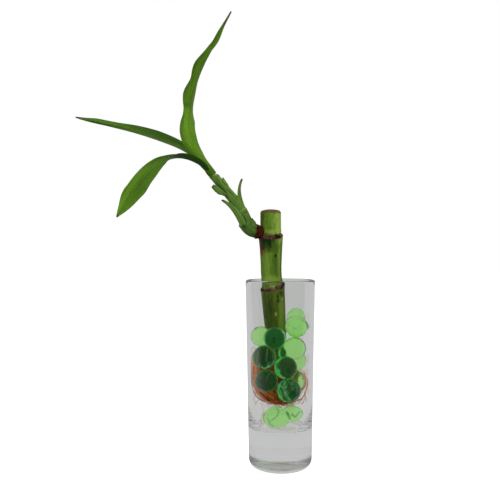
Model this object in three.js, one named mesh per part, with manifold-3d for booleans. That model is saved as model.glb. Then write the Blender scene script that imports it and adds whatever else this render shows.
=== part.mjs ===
// A lucky bamboo cutting that grows in a tall, thick-based glass of gel beads.
//
// One cut cane leans on the back of the glass. A side shoot leaves its upper joint, held by a dry
// red-brown collar, and carries three long leaves. Orange roots wrap the foot of the cane like a
// bowl, and green water beads fill the glass in front of them and below.
//
// Millimetres, +Z up, +X to the right and +Y away from the viewer. The origin is the middle of
// the glass's foot, on the surface that it stands on.
import * as THREE from 'three';
import { mergeVertices } from 'three/addons/utils/BufferGeometryUtils.js';
import Module from 'manifold-3d';

const wasm = await Module();
wasm.setup();

const { Vector3 } = THREE;
const point = (x, y, z) => new Vector3(x, y, z);

// Driving dimensions

// Room between two pieces that touch in the real plant.
const CLEARANCE = 0.3;

const GLASS = {
  height: 105,
  rimRadius: 19.5,
  footRadius: 17.8,
  heel: 5,
  wall: 1.8,
  base: 21.8,
  // The inside rounds from wall to floor over this reach and rise.
  cornerReach: 4.2,
  cornerRise: 15,
  segments: 48,
};

const CANE = {
  // The middle line, from the cut foot to the cut top.
  line: [
    point(-1.6, 8.3, 50),
    point(-2.3, 8.8, 75),
    point(-3.9, 9.2, 98),
    point(-4.8, 9.4, 109),
    point(-5.05, 9.5, 129),
    point(-5.1, 9.5, 144.2),
  ],
  // Height and radius. The two swellings are the leaf scars at its joints.
  profile: [
    [50, 5.5],
    [52, 5.95],
    [62, 5.95],
    [76, 6.2],
    [88, 6.7],
    [97.5, 7.0],
    [99.2, 7.2],
    [100.4, 7.1],
    [101.6, 6.4],
    [105, 6.05],
    [112, 6.05],
    [122, 6.45],
    [127.4, 6.85],
    [128.8, 7.0],
    [130, 6.8],
    [131.2, 6.15],
    [134, 5.95],
    [143.4, 6.0],
    [144.2, 5.7],
  ],
  cutTilt: THREE.MathUtils.degToRad(9),
  sides: 24,
};

const BEAD_DETAIL = 2;
// How finely the beads are settled: rounds of pushing, and points tested along the glass.
const SETTLING = { rounds: 300, cornerSteps: 12, wallPoints: 160 };
// Each bead as it lies in the glass, before it settles against its neighbours: middle and radius.
const BEADS = [
  [point(-2.7, -6.2, 28.6), 6.5],
  [point(4.8, 4.8, 27.8), 5.5],
  [point(4.0, -8.0, 45.0), 6.6],
  [point(-7.6, -6.2, 50.2), 6.2],
  [point(9.2, 3.4, 47.4), 5.8],
  [point(2.6, -9.8, 57.0), 6.2],
  [point(10.6, 4.4, 59.0), 5.7],
  [point(-9.2, -5.0, 61.8), 6.5],
  [point(8.0, -3.4, 66.6), 6.2],
  [point(-11.2, 1.4, 72.6), 5.6],
  [point(-3.4, -10.0, 73.4), 6.1],
  [point(8.5, -6.2, 79.2), 6.1],
  [point(9.5, 5.4, 83.2), 5.5],
];

// The middle line of the side shoot, from inside the cane to its growing tip, and its radii.
const SHOOT = {
  line: [
    point(-9.0, 8.6, 132.3),
    point(-12.2, 7.0, 132.3),
    point(-15.2, 5.8, 133.3),
    point(-18.0, 5.2, 136.2),
    point(-21.3, 4.6, 142.4),
    point(-24.9, 4.0, 148.6),
    point(-29.6, 3.5, 154.4),
    point(-34.3, 3.0, 160.0),
    point(-38.0, 2.4, 164.4),
    point(-40.6, 1.8, 167.4),
  ],
  // Share of its length and radius. The neck sits in the collar, and past the rim of the top
  // sheath only the core goes on, between the bases of the leaves.
  radius: [
    [0, 2.8],
    [0.11, 2.8],
    [0.13, 3.7],
    [0.2, 4.0],
    [0.25, 4.1],
    [0.27, 3.85],
    [0.4, 3.5],
    [0.42, 3.3],
    [0.56, 3.05],
    [0.7, 2.75],
    [0.86, 2.55],
    [0.9, 2.5],
    [0.915, 1.15],
    [1, 0.7],
  ],
  steps: 40,
  sides: 12,
};

// The collar's ends along the shoot, and its radius at the cane, half way and at its lip.
const COLLAR = { from: 0, to: 0.112, radii: [4.4, 4.0, 3.75], sides: 18 };

// Where each leaf is seated round the top of the shoot, in degrees: 0 is its right-hand side
// and 90 is towards the viewer.
const SEATS = { upright: 45, hanging: 168, reaching: 285 };
const SEAT_DISTANCE = 1.95;

const LEAF_THICKNESS = { rib: 0.95, edge: 0.62 };

const ROOTS = {
  // The cup that the roots have grown into: straight above its middle, and a bowl below.
  middle: point(0, 1.2, 51.5),
  radii: point(15.6, 14.8, 16.2),
  strands: 19,
  points: 14,
  fewestPoints: 6,
  sides: 5,
  thick: 0.85,
  thin: 0.5,
  // Roots keep this much more than the clearance from the beads.
  spare: 0.12,
  // Degrees: the first root's turn round the cup, the share of a full turn that they fill, how far
  // one may slant on its way down, and how far down the bowl it reaches.
  firstTurn: -30,
  spread: 240,
  slant: 90,
  reach: [75, 125],
  // Shares of the cup's radii: how high a root climbs before it turns down, and how far out it is.
  climb: 0.6,
  depth: [0.94, 1],
  // How far a root's end strays sideways, so that the roots cross each other under the cane.
  wander: 11,
  // Rounds that ease each root round the beads, and how far a point moves in each.
  easing: { rounds: 24, share: 0.15 },
  // The crown rounds in over its foot bevel, and the roots leave it inside its end margins.
  crown: { from: 48.4, to: 57, wall: 0.9, bevel: 2, lip: 0.8, margins: [0.6, 1], sides: 24 },
};

const COLOURS = {
  glass: { color: '#dfe6e2', roughness: 0.05, metalness: 0 },
  cane: { color: '#59742a', roughness: 0.45, metalness: 0 },
  shoot: { color: '#4f7a2b', roughness: 0.5, metalness: 0 },
  collar: { color: '#4a1a10', roughness: 0.8, metalness: 0 },
  leaf: { color: '#4c7a1d', roughness: 0.45, metalness: 0 },
  root: { color: '#a4521f', roughness: 0.7, metalness: 0 },
  bead: { color: '#7cc268', roughness: 0.1, metalness: 0 },
};

// General helpers

/** The number at u on the smooth curve through a list of [u, number] pairs. */
function along(pairs, u) {
  const last = pairs.length - 1;
  const above = pairs.findIndex(([at]) => at > u);
  const i = above < 0 ? last - 1 : Math.max(above - 1, 0);
  const slope = (k) => {
    const [u0, v0] = pairs[Math.max(k - 1, 0)];
    const [u1, v1] = pairs[Math.min(k + 1, last)];
    return (v1 - v0) / (u1 - u0);
  };
  const [[u0, v0], [u1, v1]] = [pairs[i], pairs[i + 1]];
  const span = u1 - u0;
  const t = (u - u0) / span;
  const rise = t * t * (3 - 2 * t);
  const bendIn = t * (1 - t) * (1 - t) * span;
  const bendOut = t * t * (t - 1) * span;
  return v0 + rise * (v1 - v0) + bendIn * slope(i) + bendOut * slope(i + 1);
}

/** The same for a list of [u, vector] pairs. */
function vectorAlong(pairs, u) {
  const [x, y, z] = ['x', 'y', 'z'].map((axis) => along(pairs.map(([at, v]) => [at, v[axis]]), u));
  return point(x, y, z);
}

/** The number at u in a list of [u, number] pairs, with straight stretches between them. */
function straightAlong(pairs, u) {
  let i = 1;
  while (i < pairs.length - 1 && pairs[i][0] < u) i += 1;
  const [u0, v0] = pairs[i - 1];
  const [u1, v1] = pairs[i];
  return THREE.MathUtils.lerp(v0, v1, THREE.MathUtils.clamp((u - u0) / (u1 - u0), 0, 1));
}

/** What is left of a vector once its share along a unit axis is taken off, at length 1. */
function across(vector, axis) {
  return vector.clone().addScaledVector(axis, -vector.dot(axis)).normalize();
}

/** A geometry from a list of points and a list of corner triples, turned to face outwards. */
function geometryFrom(points, triangles) {
  let sixVolumes = 0;
  for (const [a, b, c] of triangles) {
    sixVolumes += points[a].dot(points[b].clone().cross(points[c]));
  }
  const order = sixVolumes < 0 ? triangles.map(([a, b, c]) => [a, c, b]) : triangles;
  return new THREE.BufferGeometry().setFromPoints(points).setIndex(order.flat());
}

/** A closed skin over rings of points that all have the same count, with flat ends. */
function loft(rings) {
  const sides = rings[0].length;
  const points = rings.flat();
  const triangles = [];
  for (let i = 0; i < rings.length - 1; i += 1) {
    for (let k = 0; k < sides; k += 1) {
      const a = i * sides + k;
      const b = i * sides + ((k + 1) % sides);
      triangles.push([a, b, b + sides], [a, b + sides, a + sides]);
    }
  }
  const middle = (ring) => ring.reduce((sum, p) => sum.add(p), point(0, 0, 0)).divideScalar(sides);
  const first = points.push(middle(rings[0])) - 1;
  const last = points.push(middle(rings.at(-1))) - 1;
  const top = (rings.length - 1) * sides;
  for (let k = 0; k < sides; k += 1) {
    const next = (k + 1) % sides;
    triangles.push([first, next, k], [last, top + k, top + next]);
  }
  return geometryFrom(points, triangles);
}

/** A round rod along a stretch of a curve, with a radius for each share of the curve's length. */
function rod(curve, radiusAt, steps, sides, from = 0, to = 1) {
  const rings = [];
  let normal = point(0.3, 1, 0.2);
  for (let i = 0; i <= steps; i += 1) {
    const u = THREE.MathUtils.lerp(from, to, i / steps);
    const tangent = curve.getTangentAt(u);
    normal = across(normal, tangent);
    const binormal = tangent.clone().cross(normal);
    const ring = [];
    for (let k = 0; k < sides; k += 1) {
      const turn = (2 * Math.PI * k) / sides;
      ring.push(
        curve
          .getPointAt(u)
          .addScaledVector(normal, radiusAt(u) * Math.cos(turn))
          .addScaledVector(binormal, radiusAt(u) * Math.sin(turn)),
      );
    }
    rings.push(ring);
  }
  return loft(rings);
}

/** A closed geometry as a solid that can be joined and cut. */
function solidOf(geometry) {
  const bare = geometry.clone();
  bare.deleteAttribute('normal');
  bare.deleteAttribute('uv');
  const merged = mergeVertices(bare, 1e-3);
  return new wasm.Manifold(
    new wasm.Mesh({
      numProp: 3,
      vertProperties: merged.attributes.position.array,
      triVerts: new Uint32Array(merged.index.array),
    }),
  );
}

/** The largest body of a solid, as a geometry: what a cut leaves loose is dropped. */
function geometryOf(solid) {
  const largest = solid.decompose().reduce((a, b) => (b.volume() > a.volume() ? b : a));
  const { vertProperties, triVerts } = largest.getMesh();
  const geometry = new THREE.BufferGeometry();
  geometry.setAttribute('position', new THREE.BufferAttribute(vertProperties, 3));
  geometry.setIndex(new THREE.BufferAttribute(triVerts, 1));
  return geometry;
}

function mesh(name, geometry, look) {
  const made = new THREE.Mesh(geometry, new THREE.MeshStandardMaterial(look));
  made.name = name;
  return made;
}

// The glass

/** Points on a quarter of an ellipse about (x, z), between two angles. */
function ellipseArc(x, z, reach, rise, from, to, steps) {
  const points = [];
  for (let i = 0; i <= steps; i += 1) {
    const turn = from + ((to - from) * i) / steps;
    points.push(new THREE.Vector2(x + reach * Math.cos(turn), z + rise * Math.sin(turn)));
  }
  return points;
}

/** The outer radius of the glass above its heel. */
function outerRadius(z) {
  const share = (z - GLASS.heel) / (GLASS.height - GLASS.heel);
  return THREE.MathUtils.lerp(GLASS.footRadius, GLASS.rimRadius, share);
}

/** The inside of the glass, from the middle of its floor to its rim. */
function innerProfile(cornerSteps) {
  const cornerTop = GLASS.base + GLASS.cornerRise;
  const cornerMiddle = outerRadius(cornerTop) - GLASS.wall - GLASS.cornerReach;
  return [
    new THREE.Vector2(0, GLASS.base),
    ...ellipseArc(
      cornerMiddle,
      cornerTop,
      GLASS.cornerReach,
      GLASS.cornerRise,
      -Math.PI / 2,
      0,
      cornerSteps,
    ),
    new THREE.Vector2(GLASS.rimRadius - GLASS.wall, GLASS.height - GLASS.wall / 2),
  ];
}

function glassGeometry() {
  const lip = GLASS.wall / 2;
  const outside = [
    new THREE.Vector2(0, 0),
    ...ellipseArc(
      GLASS.footRadius - GLASS.heel,
      GLASS.heel,
      GLASS.heel,
      GLASS.heel,
      -Math.PI / 2,
      0,
      5,
    ),
  ];
  const rim = ellipseArc(GLASS.rimRadius - lip, GLASS.height - lip, lip, lip, 0, Math.PI, 5);
  const inside = innerProfile(6).reverse().slice(1);
  const lathe = new THREE.LatheGeometry([...outside, ...rim, ...inside], GLASS.segments);
  return lathe.rotateX(Math.PI / 2);
}

// The cane

/** The middle of the cane at a height. */
function caneMiddle(z) {
  const { line } = CANE;
  let i = 1;
  while (i < line.length - 1 && line[i].z < z) i += 1;
  const share = (z - line[i - 1].z) / (line[i].z - line[i - 1].z);
  return line[i - 1].clone().lerp(line[i], share);
}

const caneRadius = (z) => straightAlong(CANE.profile, z);

/** The cane, or a copy of it that stands proud all round, which cuts its neighbours clear. */
function caneGeometry(proud = 0) {
  const foot = CANE.line[0].z;
  const top = CANE.line.at(-1).z;
  const heights = CANE.profile.map(([z]) => z);
  const rings = heights.map((z) => {
    const centre = caneMiddle(z);
    const cut = THREE.MathUtils.smoothstep(z, top - 6, top);
    const stretched = z === top ? z + proud : z === foot ? z - proud : z;
    const ring = [];
    for (let k = 0; k < CANE.sides; k += 1) {
      const turn = (2 * Math.PI * k) / CANE.sides;
      const y = (caneRadius(z) + proud) * Math.sin(turn);
      ring.push(
        point(
          centre.x + (caneRadius(z) + proud) * Math.cos(turn),
          centre.y + y,
          stretched - cut * y * Math.tan(CANE.cutTilt),
        ),
      );
    }
    return ring;
  });
  return loft(rings);
}

// The water beads

/** Pushes the beads off each other, off the cane and off the glass until all are clear. */
function settled(beads) {
  const balls = beads.map(([middle, radius]) => ({ middle: middle.clone(), radius }));
  const walls = new THREE.Path(innerProfile(SETTLING.cornerSteps)).getSpacedPoints(
    SETTLING.wallPoints,
  );
  for (let round = 0; round < SETTLING.rounds; round += 1) {
    for (const ball of balls) {
      for (const other of balls) {
        const apart = ball.middle.clone().sub(other.middle);
        const short = ball.radius + other.radius + CLEARANCE - apart.length();
        if (ball === other || short <= 0) continue;
        ball.middle.addScaledVector(apart.normalize(), short / 2);
        other.middle.addScaledVector(apart, -short / 2);
      }
      const off = ball.middle.clone().sub(caneMiddle(ball.middle.z)).setZ(0);
      const near = caneRadius(ball.middle.z) + ball.radius + CLEARANCE - off.length();
      if (near > 0) ball.middle.addScaledVector(off.normalize(), near);
      for (const wall of walls) {
        const out = Math.hypot(ball.middle.x, ball.middle.y);
        const gap = new THREE.Vector2(out - wall.x, ball.middle.z - wall.y);
        const past = ball.radius + CLEARANCE - gap.length();
        if (past <= 0) continue;
        gap.normalize().multiplyScalar(past);
        ball.middle.x *= (out + gap.x) / out;
        ball.middle.y *= (out + gap.x) / out;
        ball.middle.z += gap.y;
      }
    }
  }
  return balls;
}

const beads = settled(BEADS);

// The side shoot and its collar

const shootLine = new THREE.CatmullRomCurve3(SHOOT.line);
const shootRadius = (u) => straightAlong(SHOOT.radius, u);
const shootRod = (proud) =>
  rod(shootLine, (u) => shootRadius(u) + proud, SHOOT.steps, SHOOT.sides);

/** The direction out of the shoot, at a turn round it: 0 is right, 90 is towards the viewer. */
function outOfShoot(u, degrees) {
  const tangent = shootLine.getTangentAt(u);
  const towards = across(point(0, -1, 0), tangent);
  const right = tangent.clone().cross(towards);
  const turn = THREE.MathUtils.degToRad(degrees);
  return right.multiplyScalar(Math.cos(turn)).addScaledVector(towards, Math.sin(turn));
}

const besideShoot = (u, degrees, distance) =>
  shootLine.getPointAt(u).addScaledVector(outOfShoot(u, degrees), distance);

const intoShoot = (u, degrees) => outOfShoot(u, degrees).negate();

/** Half of a leaf's cross section, from the rib to the edge: sideways, upwards, and the turn. */
function halfSection(half, fold, keel, cells) {
  const points = [{ side: 0, up: 0, turn: 0 }];
  for (let k = 1; k <= cells; k += 1) {
    const turn = fold * ((k - 0.5) / cells) ** keel;
    const before = points.at(-1);
    points.push({
      side: before.side + (half / cells) * Math.cos(turn),
      up: before.up + (half / cells) * Math.sin(turn),
      turn: fold * (k / cells) ** keel,
    });
  }
  return points;
}

const ROUND_TROUGH = [
  [0, 1],
  [1, 1],
];

/**
 * A leaf or a bract. Its rib runs along a line, and the blade folds up from the rib on both
 * sides. Where a value changes on the way, it is a list of [share of the length, value] pairs.
 *   line: points on the rib, from base to tip
 *   facing: the direction that the upper face looks in
 *   half: half the width, measured along the section
 *   fold: how far the edge is turned up from flat, in radians
 *   keel: how the section turns up: 1 is a round trough, and less is more of a V
 *   cells: the strips on each side of the rib
 */
function leafGeometry(blade, proud = 0) {
  const { line, facing, half, fold, keel = ROUND_TROUGH, steps, cells = 3 } = blade;
  const curve = new THREE.CatmullRomCurve3(line);
  const columns = 2 * cells + 1;
  const upper = [];
  const lower = [];
  for (let i = 0; i <= steps; i += 1) {
    const u = i / steps;
    const tangent = curve.getTangentAt(u);
    const up = across(vectorAlong(facing, u), tangent);
    const side = tangent.clone().cross(up);
    const right = halfSection(along(half, u) + proud, along(fold, u), along(keel, u), cells);
    const left = right.slice(1).map((p) => ({ side: -p.side, up: p.up, turn: -p.turn }));
    const overhang = i === 0 ? -proud : i === steps ? proud : 0;
    [...left.reverse(), ...right].forEach((p, k) => {
      const inward = up
        .clone()
        .multiplyScalar(Math.cos(p.turn))
        .addScaledVector(side, -Math.sin(p.turn));
      const fromRib = Math.abs(k / cells - 1);
      const { rib, edge } = LEAF_THICKNESS;
      const depth = THREE.MathUtils.lerp(rib, edge, Math.sqrt(fromRib)) / 2 + proud;
      const middle = curve
        .getPointAt(u)
        .addScaledVector(side, p.side)
        .addScaledVector(up, p.up)
        .addScaledVector(tangent, overhang);
      upper.push(middle.clone().addScaledVector(inward, depth));
      lower.push(middle.addScaledVector(inward, -depth));
    });
  }
  const top = (i, k) => i * columns + k;
  const under = (i, k) => upper.length + top(i, k);
  const triangles = [];
  const quad = (a, b, c, d) => triangles.push([a, b, c], [a, c, d]);
  for (let i = 0; i < steps; i += 1) {
    for (let k = 0; k < columns - 1; k += 1) {
      quad(top(i, k), top(i, k + 1), top(i + 1, k + 1), top(i + 1, k));
      triangles.push([under(i, k), under(i + 1, k + 1), under(i, k + 1)]);
      triangles.push([under(i, k), under(i + 1, k), under(i + 1, k + 1)]);
    }
    quad(top(i, 0), top(i + 1, 0), under(i + 1, 0), under(i, 0));
    const last = columns - 1;
    quad(top(i, last), under(i, last), under(i + 1, last), top(i + 1, last));
  }
  for (let k = 0; k < columns - 1; k += 1) {
    quad(top(0, k), under(0, k), under(0, k + 1), top(0, k + 1));
    quad(top(steps, k), top(steps, k + 1), under(steps, k + 1), under(steps, k));
  }
  return geometryFrom([...upper, ...lower], triangles);
}

// The small bracts, which are one with the shoot.
const BRACTS = {
  foot_scale: {
    line: [besideShoot(0.11, 30, 3.3), point(-14.0, 4.2, 137.6), point(-16.2, 4.0, 140.2)],
    facing: [
      [0, intoShoot(0.11, 30)],
      [1, point(-0.8, 0.2, -0.5)],
    ],
    half: [
      [0, 2.4],
      [0.5, 1.7],
      [1, 0.35],
    ],
    fold: [
      [0, 0.6],
      [1, 0.4],
    ],
    steps: 5,
    cells: 2,
  },
  right: {
    line: [
      besideShoot(0.36, 20, 3.0),
      point(-20.9, 2.8, 146.6),
      point(-22.2, 2.4, 151.1),
      point(-22.7, 2.0, 155.5),
      point(-22.5, 1.8, 158.9),
      point(-21.5, 1.8, 162.2),
    ],
    facing: [
      [0, intoShoot(0.36, 20)],
      [0.4, point(-0.8, 0.6, -0.2)],
      [1, point(-0.8, 0.6, -0.2)],
    ],
    half: [
      [0, 2.9],
      [0.3, 2.4],
      [0.6, 1.6],
      [0.85, 1.0],
      [1, 0.35],
    ],
    fold: [
      [0, 0.8],
      [1, 0.8],
    ],
    steps: 10,
    cells: 2,
  },
  left: {
    line: [
      besideShoot(0.24, 165, 3.4),
      point(-24.3, 2.0, 139.6),
      point(-26.7, 1.0, 143.8),
      point(-29.1, 0.2, 147.0),
      point(-32.4, -0.6, 149.7),
    ],
    facing: [
      [0, intoShoot(0.24, 165)],
      [0.6, point(0.8, 0.5, 0.4)],
      [1, point(0.6, 0.5, 0.6)],
    ],
    half: [
      [0, 3.0],
      [0.3, 2.6],
      [0.65, 1.6],
      [1, 0.35],
    ],
    fold: [
      [0, 0.8],
      [1, 0.7],
    ],
    steps: 10,
    cells: 2,
  },
  upper: {
    line: [
      besideShoot(0.55, 165, 2.5),
      point(-32.4, 0.9, 152.1),
      point(-35.4, 0.3, 154.4),
      point(-38.5, -0.4, 157.2),
    ],
    facing: [
      [0, intoShoot(0.55, 165)],
      [1, point(0.5, 0.5, 0.7)],
    ],
    half: [
      [0, 2.4],
      [0.5, 2.2],
      [0.85, 1.6],
      [1, 0.9],
    ],
    fold: [
      [0, 0.8],
      [1, 0.5],
    ],
    steps: 7,
    cells: 2,
  },
};

const caneSpace = solidOf(caneGeometry(CLEARANCE));
const shootSpace = solidOf(shootRod(CLEARANCE));

function shootGeometry() {
  const bracts = Object.values(BRACTS).map((bract) => solidOf(leafGeometry(bract)));
  const whole = bracts.reduce((sum, bract) => sum.add(bract), solidOf(shootRod(0)));
  return geometryOf(whole.subtract(caneSpace));
}

/** The dry scale that rings the shoot where it leaves the cane. */
function collarGeometry() {
  const { from, to, radii, sides } = COLLAR;
  const radiusAt = (u) => straightAlong(radii.map((r, i) => [(to * i) / 2, r]), u);
  const ring = solidOf(rod(shootLine, radiusAt, 6, sides, from, to));
  const scaleSpace = solidOf(leafGeometry(BRACTS.foot_scale, CLEARANCE));
  return geometryOf(ring.subtract(shootSpace).subtract(scaleSpace).subtract(caneSpace));
}

// The three long leaves

const leafBase = (seat) => [
  besideShoot(0.918, seat, SEAT_DISTANCE),
  besideShoot(0.965, seat, SEAT_DISTANCE),
];

const LEAVES = {
  // The leaf that bends over to the left and hangs, on a narrow channelled neck.
  leaf_hanging: {
    line: [
      ...leafBase(SEATS.hanging),
      point(-44.2, -1.8, 169.0),
      point(-50.4, -5.2, 172.1),
      point(-56.8, -8.6, 172.9),
      point(-63.2, -12.2, 170.8),
      point(-69.4, -15.8, 166.2),
      point(-74.6, -18.8, 159.9),
      point(-78.8, -21.2, 153.0),
      point(-82.5, -23.0, 146.3),
      point(-87.3, -24.6, 139.2),
    ],
    facing: [
      [0, intoShoot(0.918, SEATS.hanging)],
      [0.2, point(0.2, 0.1, 0.95)],
      [0.36, point(-0.1, -0.35, 0.93)],
      [0.5, point(-0.2, -0.75, 0.6)],
      [0.7, point(-0.2, -0.95, 0.25)],
      [1, point(-0.2, -0.95, 0.15)],
    ],
    half: [
      [0, 1.75],
      [0.1, 2.1],
      [0.2, 2.4],
      [0.33, 2.6],
      [0.42, 3.5],
      [0.5, 4.4],
      [0.6, 5.2],
      [0.7, 5.3],
      [0.78, 5.0],
      [0.86, 3.9],
      [0.94, 2.1],
      [1, 0.35],
    ],
    fold: [
      [0, 0.9],
      [0.2, 1.15],
      [0.36, 1.0],
      [0.5, 0.6],
      [0.7, 0.35],
      [1, 0.4],
    ],
    keel: [
      [0, 1],
      [0.2, 0.7],
      [1, 0.6],
    ],
    steps: 32,
  },
  // The leaf that stands up in front of the others and turns half way.
  leaf_upright: {
    line: [
      ...leafBase(SEATS.upright),
      point(-43.7, -1.2, 173.3),
      point(-48.2, -1.3, 180.3),
      point(-51.5, 0.4, 188.4),
      point(-52.6, 3.9, 197.4),
      point(-52.1, 7.6, 206.4),
      point(-50.6, 9.8, 215.2),
      point(-48.0, 10.5, 223.8),
      point(-44.8, 10.2, 230.8),
      point(-40.3, 9.2, 237.6),
      point(-35.6, 8.0, 244.3),
      point(-32.6, 7.2, 250.2),
      point(-27.9, 6.0, 258.7),
    ],
    facing: [
      [0, intoShoot(0.918, SEATS.upright)],
      [0.15, point(-0.55, 0.8, -0.2)],
      [0.3, point(-0.3, 0.95, 0)],
      [0.45, point(-0.7, 0.7, 0)],
      [0.7, point(-0.7, 0.7, 0.1)],
      [1, point(-0.5, 0.85, 0.1)],
    ],
    half: [
      [0, 1.75],
      [0.1, 2.6],
      [0.17, 4.0],
      [0.28, 4.6],
      [0.34, 4.1],
      [0.42, 3.3],
      [0.5, 3.9],
      [0.57, 3.3],
      [0.64, 3.3],
      [0.74, 2.0],
      [0.82, 1.7],
      [0.92, 0.6],
      [1, 0.35],
    ],
    fold: [
      [0, 0.9],
      [0.15, 0.9],
      [0.3, 0.5],
      [0.5, 0.7],
      [1, 0.6],
    ],
    keel: [
      [0, 1],
      [0.2, 0.6],
      [1, 0.6],
    ],
    steps: 40,
  },
  // The leaf that reaches out to the left behind it, folded like a keel.
  leaf_reaching: {
    line: [
      ...leafBase(SEATS.reaching),
      point(-45.0, 6.4, 173.2),
      point(-51.8, 9.2, 177.3),
      point(-59.0, 11.8, 181.5),
      point(-70.0, 15.2, 186.2),
      point(-84.7, 18.6, 191.4),
      point(-99.4, 20.8, 195.5),
      point(-114.0, 22.0, 199.1),
      point(-121.3, 22.0, 201.3),
    ],
    facing: [
      [0, intoShoot(0.918, SEATS.reaching)],
      [0.1, point(0.1, -0.8, 0.4)],
      [0.22, point(0.15, -0.5, 0.85)],
      [0.7, point(0.1, -0.5, 0.85)],
      [1, point(0.1, -0.6, 0.8)],
    ],
    half: [
      [0, 1.75],
      [0.1, 2.4],
      [0.2, 3.9],
      [0.3, 4.8],
      [0.45, 5.5],
      [0.56, 5.1],
      [0.72, 3.7],
      [0.8, 3.2],
      [0.88, 2.9],
      [0.94, 1.8],
      [1, 0.35],
    ],
    fold: [
      [0, 0.9],
      [0.15, 1.15],
      [0.45, 1.0],
      [0.8, 0.9],
      [1, 0.5],
    ],
    keel: [
      [0, 1],
      [0.15, 0.5],
      [1, 0.5],
    ],
    steps: 32,
  },
};

/** A leaf's mesh, clear of the shoot and of the leaves that were seated before it. */
function seatedLeaf(name, seatedBefore) {
  const whole = solidOf(leafGeometry(LEAVES[name])).subtract(shootSpace);
  const clear = seatedBefore.reduce((left, other) => {
    return left.subtract(solidOf(leafGeometry(LEAVES[other], CLEARANCE)));
  }, whole);
  return mesh(name, geometryOf(clear), COLOURS.leaf);
}

// The roots

/** A repeatable draw between 0 and 1 for a root's number and what it is drawn for. */
function draw(index, what) {
  const wave = Math.sin(index * 12.9898 + what * 78.233) * 43758.5453;
  return wave - Math.floor(wave);
}

/** How far a point is clear of the nearest bead. */
function beadClearance(at) {
  return Math.min(...beads.map((bead) => bead.middle.distanceTo(at) - bead.radius));
}

/** A point moved off the beads, the cane and the glass, with room for a root of a radius. */
function movedClear(at, radius) {
  const moved = at.clone();
  const room = radius + CLEARANCE + ROOTS.spare;
  for (const bead of beads) {
    const off = moved.clone().sub(bead.middle);
    const short = bead.radius + room - off.length();
    if (short > 0) moved.addScaledVector(off.normalize(), short);
  }
  const foot = CANE.line[0].z;
  if (moved.z > foot - room) {
    const height = Math.max(moved.z, foot);
    const off = moved.clone().sub(caneMiddle(height)).setZ(0);
    const short = caneRadius(height) + room - off.length();
    if (short > 0) moved.addScaledVector(off.normalize(), short);
  }
  const out = Math.hypot(moved.x, moved.y);
  const inside = outerRadius(moved.z) - GLASS.wall - room;
  if (out > inside) moved.multiply(point(inside / out, inside / out, 1));
  return moved;
}

// The crown closes round the foot of the cane, a wall's thickness outside its clearance.
const crownRadius = caneRadius(ROOTS.crown.to) + CLEARANCE + ROOTS.crown.wall;

/**
 * The points of one root. It leaves the crown, meets the cup part way up, and follows it round
 * and down. Every root starts at the back or a side, so the front of the cup is open. A root
 * stops where the beads leave it no room.
 */
function rootPoints(index) {
  const { middle, radii, strands, crown } = ROOTS;
  const { degToRad, lerp } = THREE.MathUtils;
  const turn = degToRad(ROOTS.firstTurn + (ROOTS.spread * (index + 0.5)) / strands);
  const slant = degToRad(ROOTS.slant * (draw(index, 1) - 0.5));
  const climb = ROOTS.climb * draw(index, 2);
  const reach = degToRad(lerp(...ROOTS.reach, draw(index, 3)));
  const depth = lerp(...ROOTS.depth, draw(index, 4));
  const stray = point(draw(index, 6) - 0.5, draw(index, 7) - 0.5, 0).multiplyScalar(ROOTS.wander);
  const [below, above] = crown.margins;
  const seatHeight = lerp(crown.from + below, crown.to - above, draw(index, 5));
  const seat = point(Math.cos(turn), Math.sin(turn), 0)
    .multiplyScalar(crownRadius - crown.wall / 2)
    .add(caneMiddle(Math.max(seatHeight, CANE.line[0].z)))
    .setZ(seatHeight);
  const cup = Array.from({ length: ROOTS.points - 2 }, (_, i) => {
    const share = i / (ROOTS.points - 3);
    const down = lerp(-climb, reach, share);
    const around = turn + slant * share;
    const out = depth * Math.cos(Math.max(down, 0));
    return point(
      middle.x + radii.x * out * Math.cos(around),
      middle.y + radii.y * out * Math.sin(around),
      middle.z - radii.z * (down < 0 ? down : depth * Math.sin(down)),
    ).addScaledVector(stray, share);
  });
  let points = [seat, seat.clone().lerp(cup[0], 0.5), ...cup];
  const { rounds, share: eased } = ROOTS.easing;
  for (let round = 0; round < rounds; round += 1) {
    points = points.map((p, i) => {
      if (i === 0) return p;
      const next = points[i + 1];
      const smooth = next ? p.clone().lerp(points[i - 1].clone().lerp(next, 0.5), eased) : p;
      return movedClear(smooth, ROOTS.thick);
    });
  }
  const blocked = points.findIndex((p, i) => i > 0 && beadClearance(p) < ROOTS.thick);
  return blocked < 0 ? points : points.slice(0, blocked);
}

/** The cup that the roots spring from, round the cut foot of the cane. */
function crownSolid() {
  const { from, to, bevel, lip, sides } = ROOTS.crown;
  const foot = CANE.line[0].z;
  const heights = [
    [from, crownRadius - bevel],
    [from + lip, crownRadius - lip / 2],
    [foot + lip, crownRadius],
    [to, crownRadius],
  ];
  const rings = heights.map(([z, r]) => {
    const centre = caneMiddle(Math.max(z, foot));
    return Array.from({ length: sides }, (_, k) => {
      const turn = (2 * Math.PI * k) / sides;
      return point(centre.x + r * Math.cos(turn), centre.y + r * Math.sin(turn), z);
    });
  });
  return solidOf(loft(rings));
}

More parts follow.
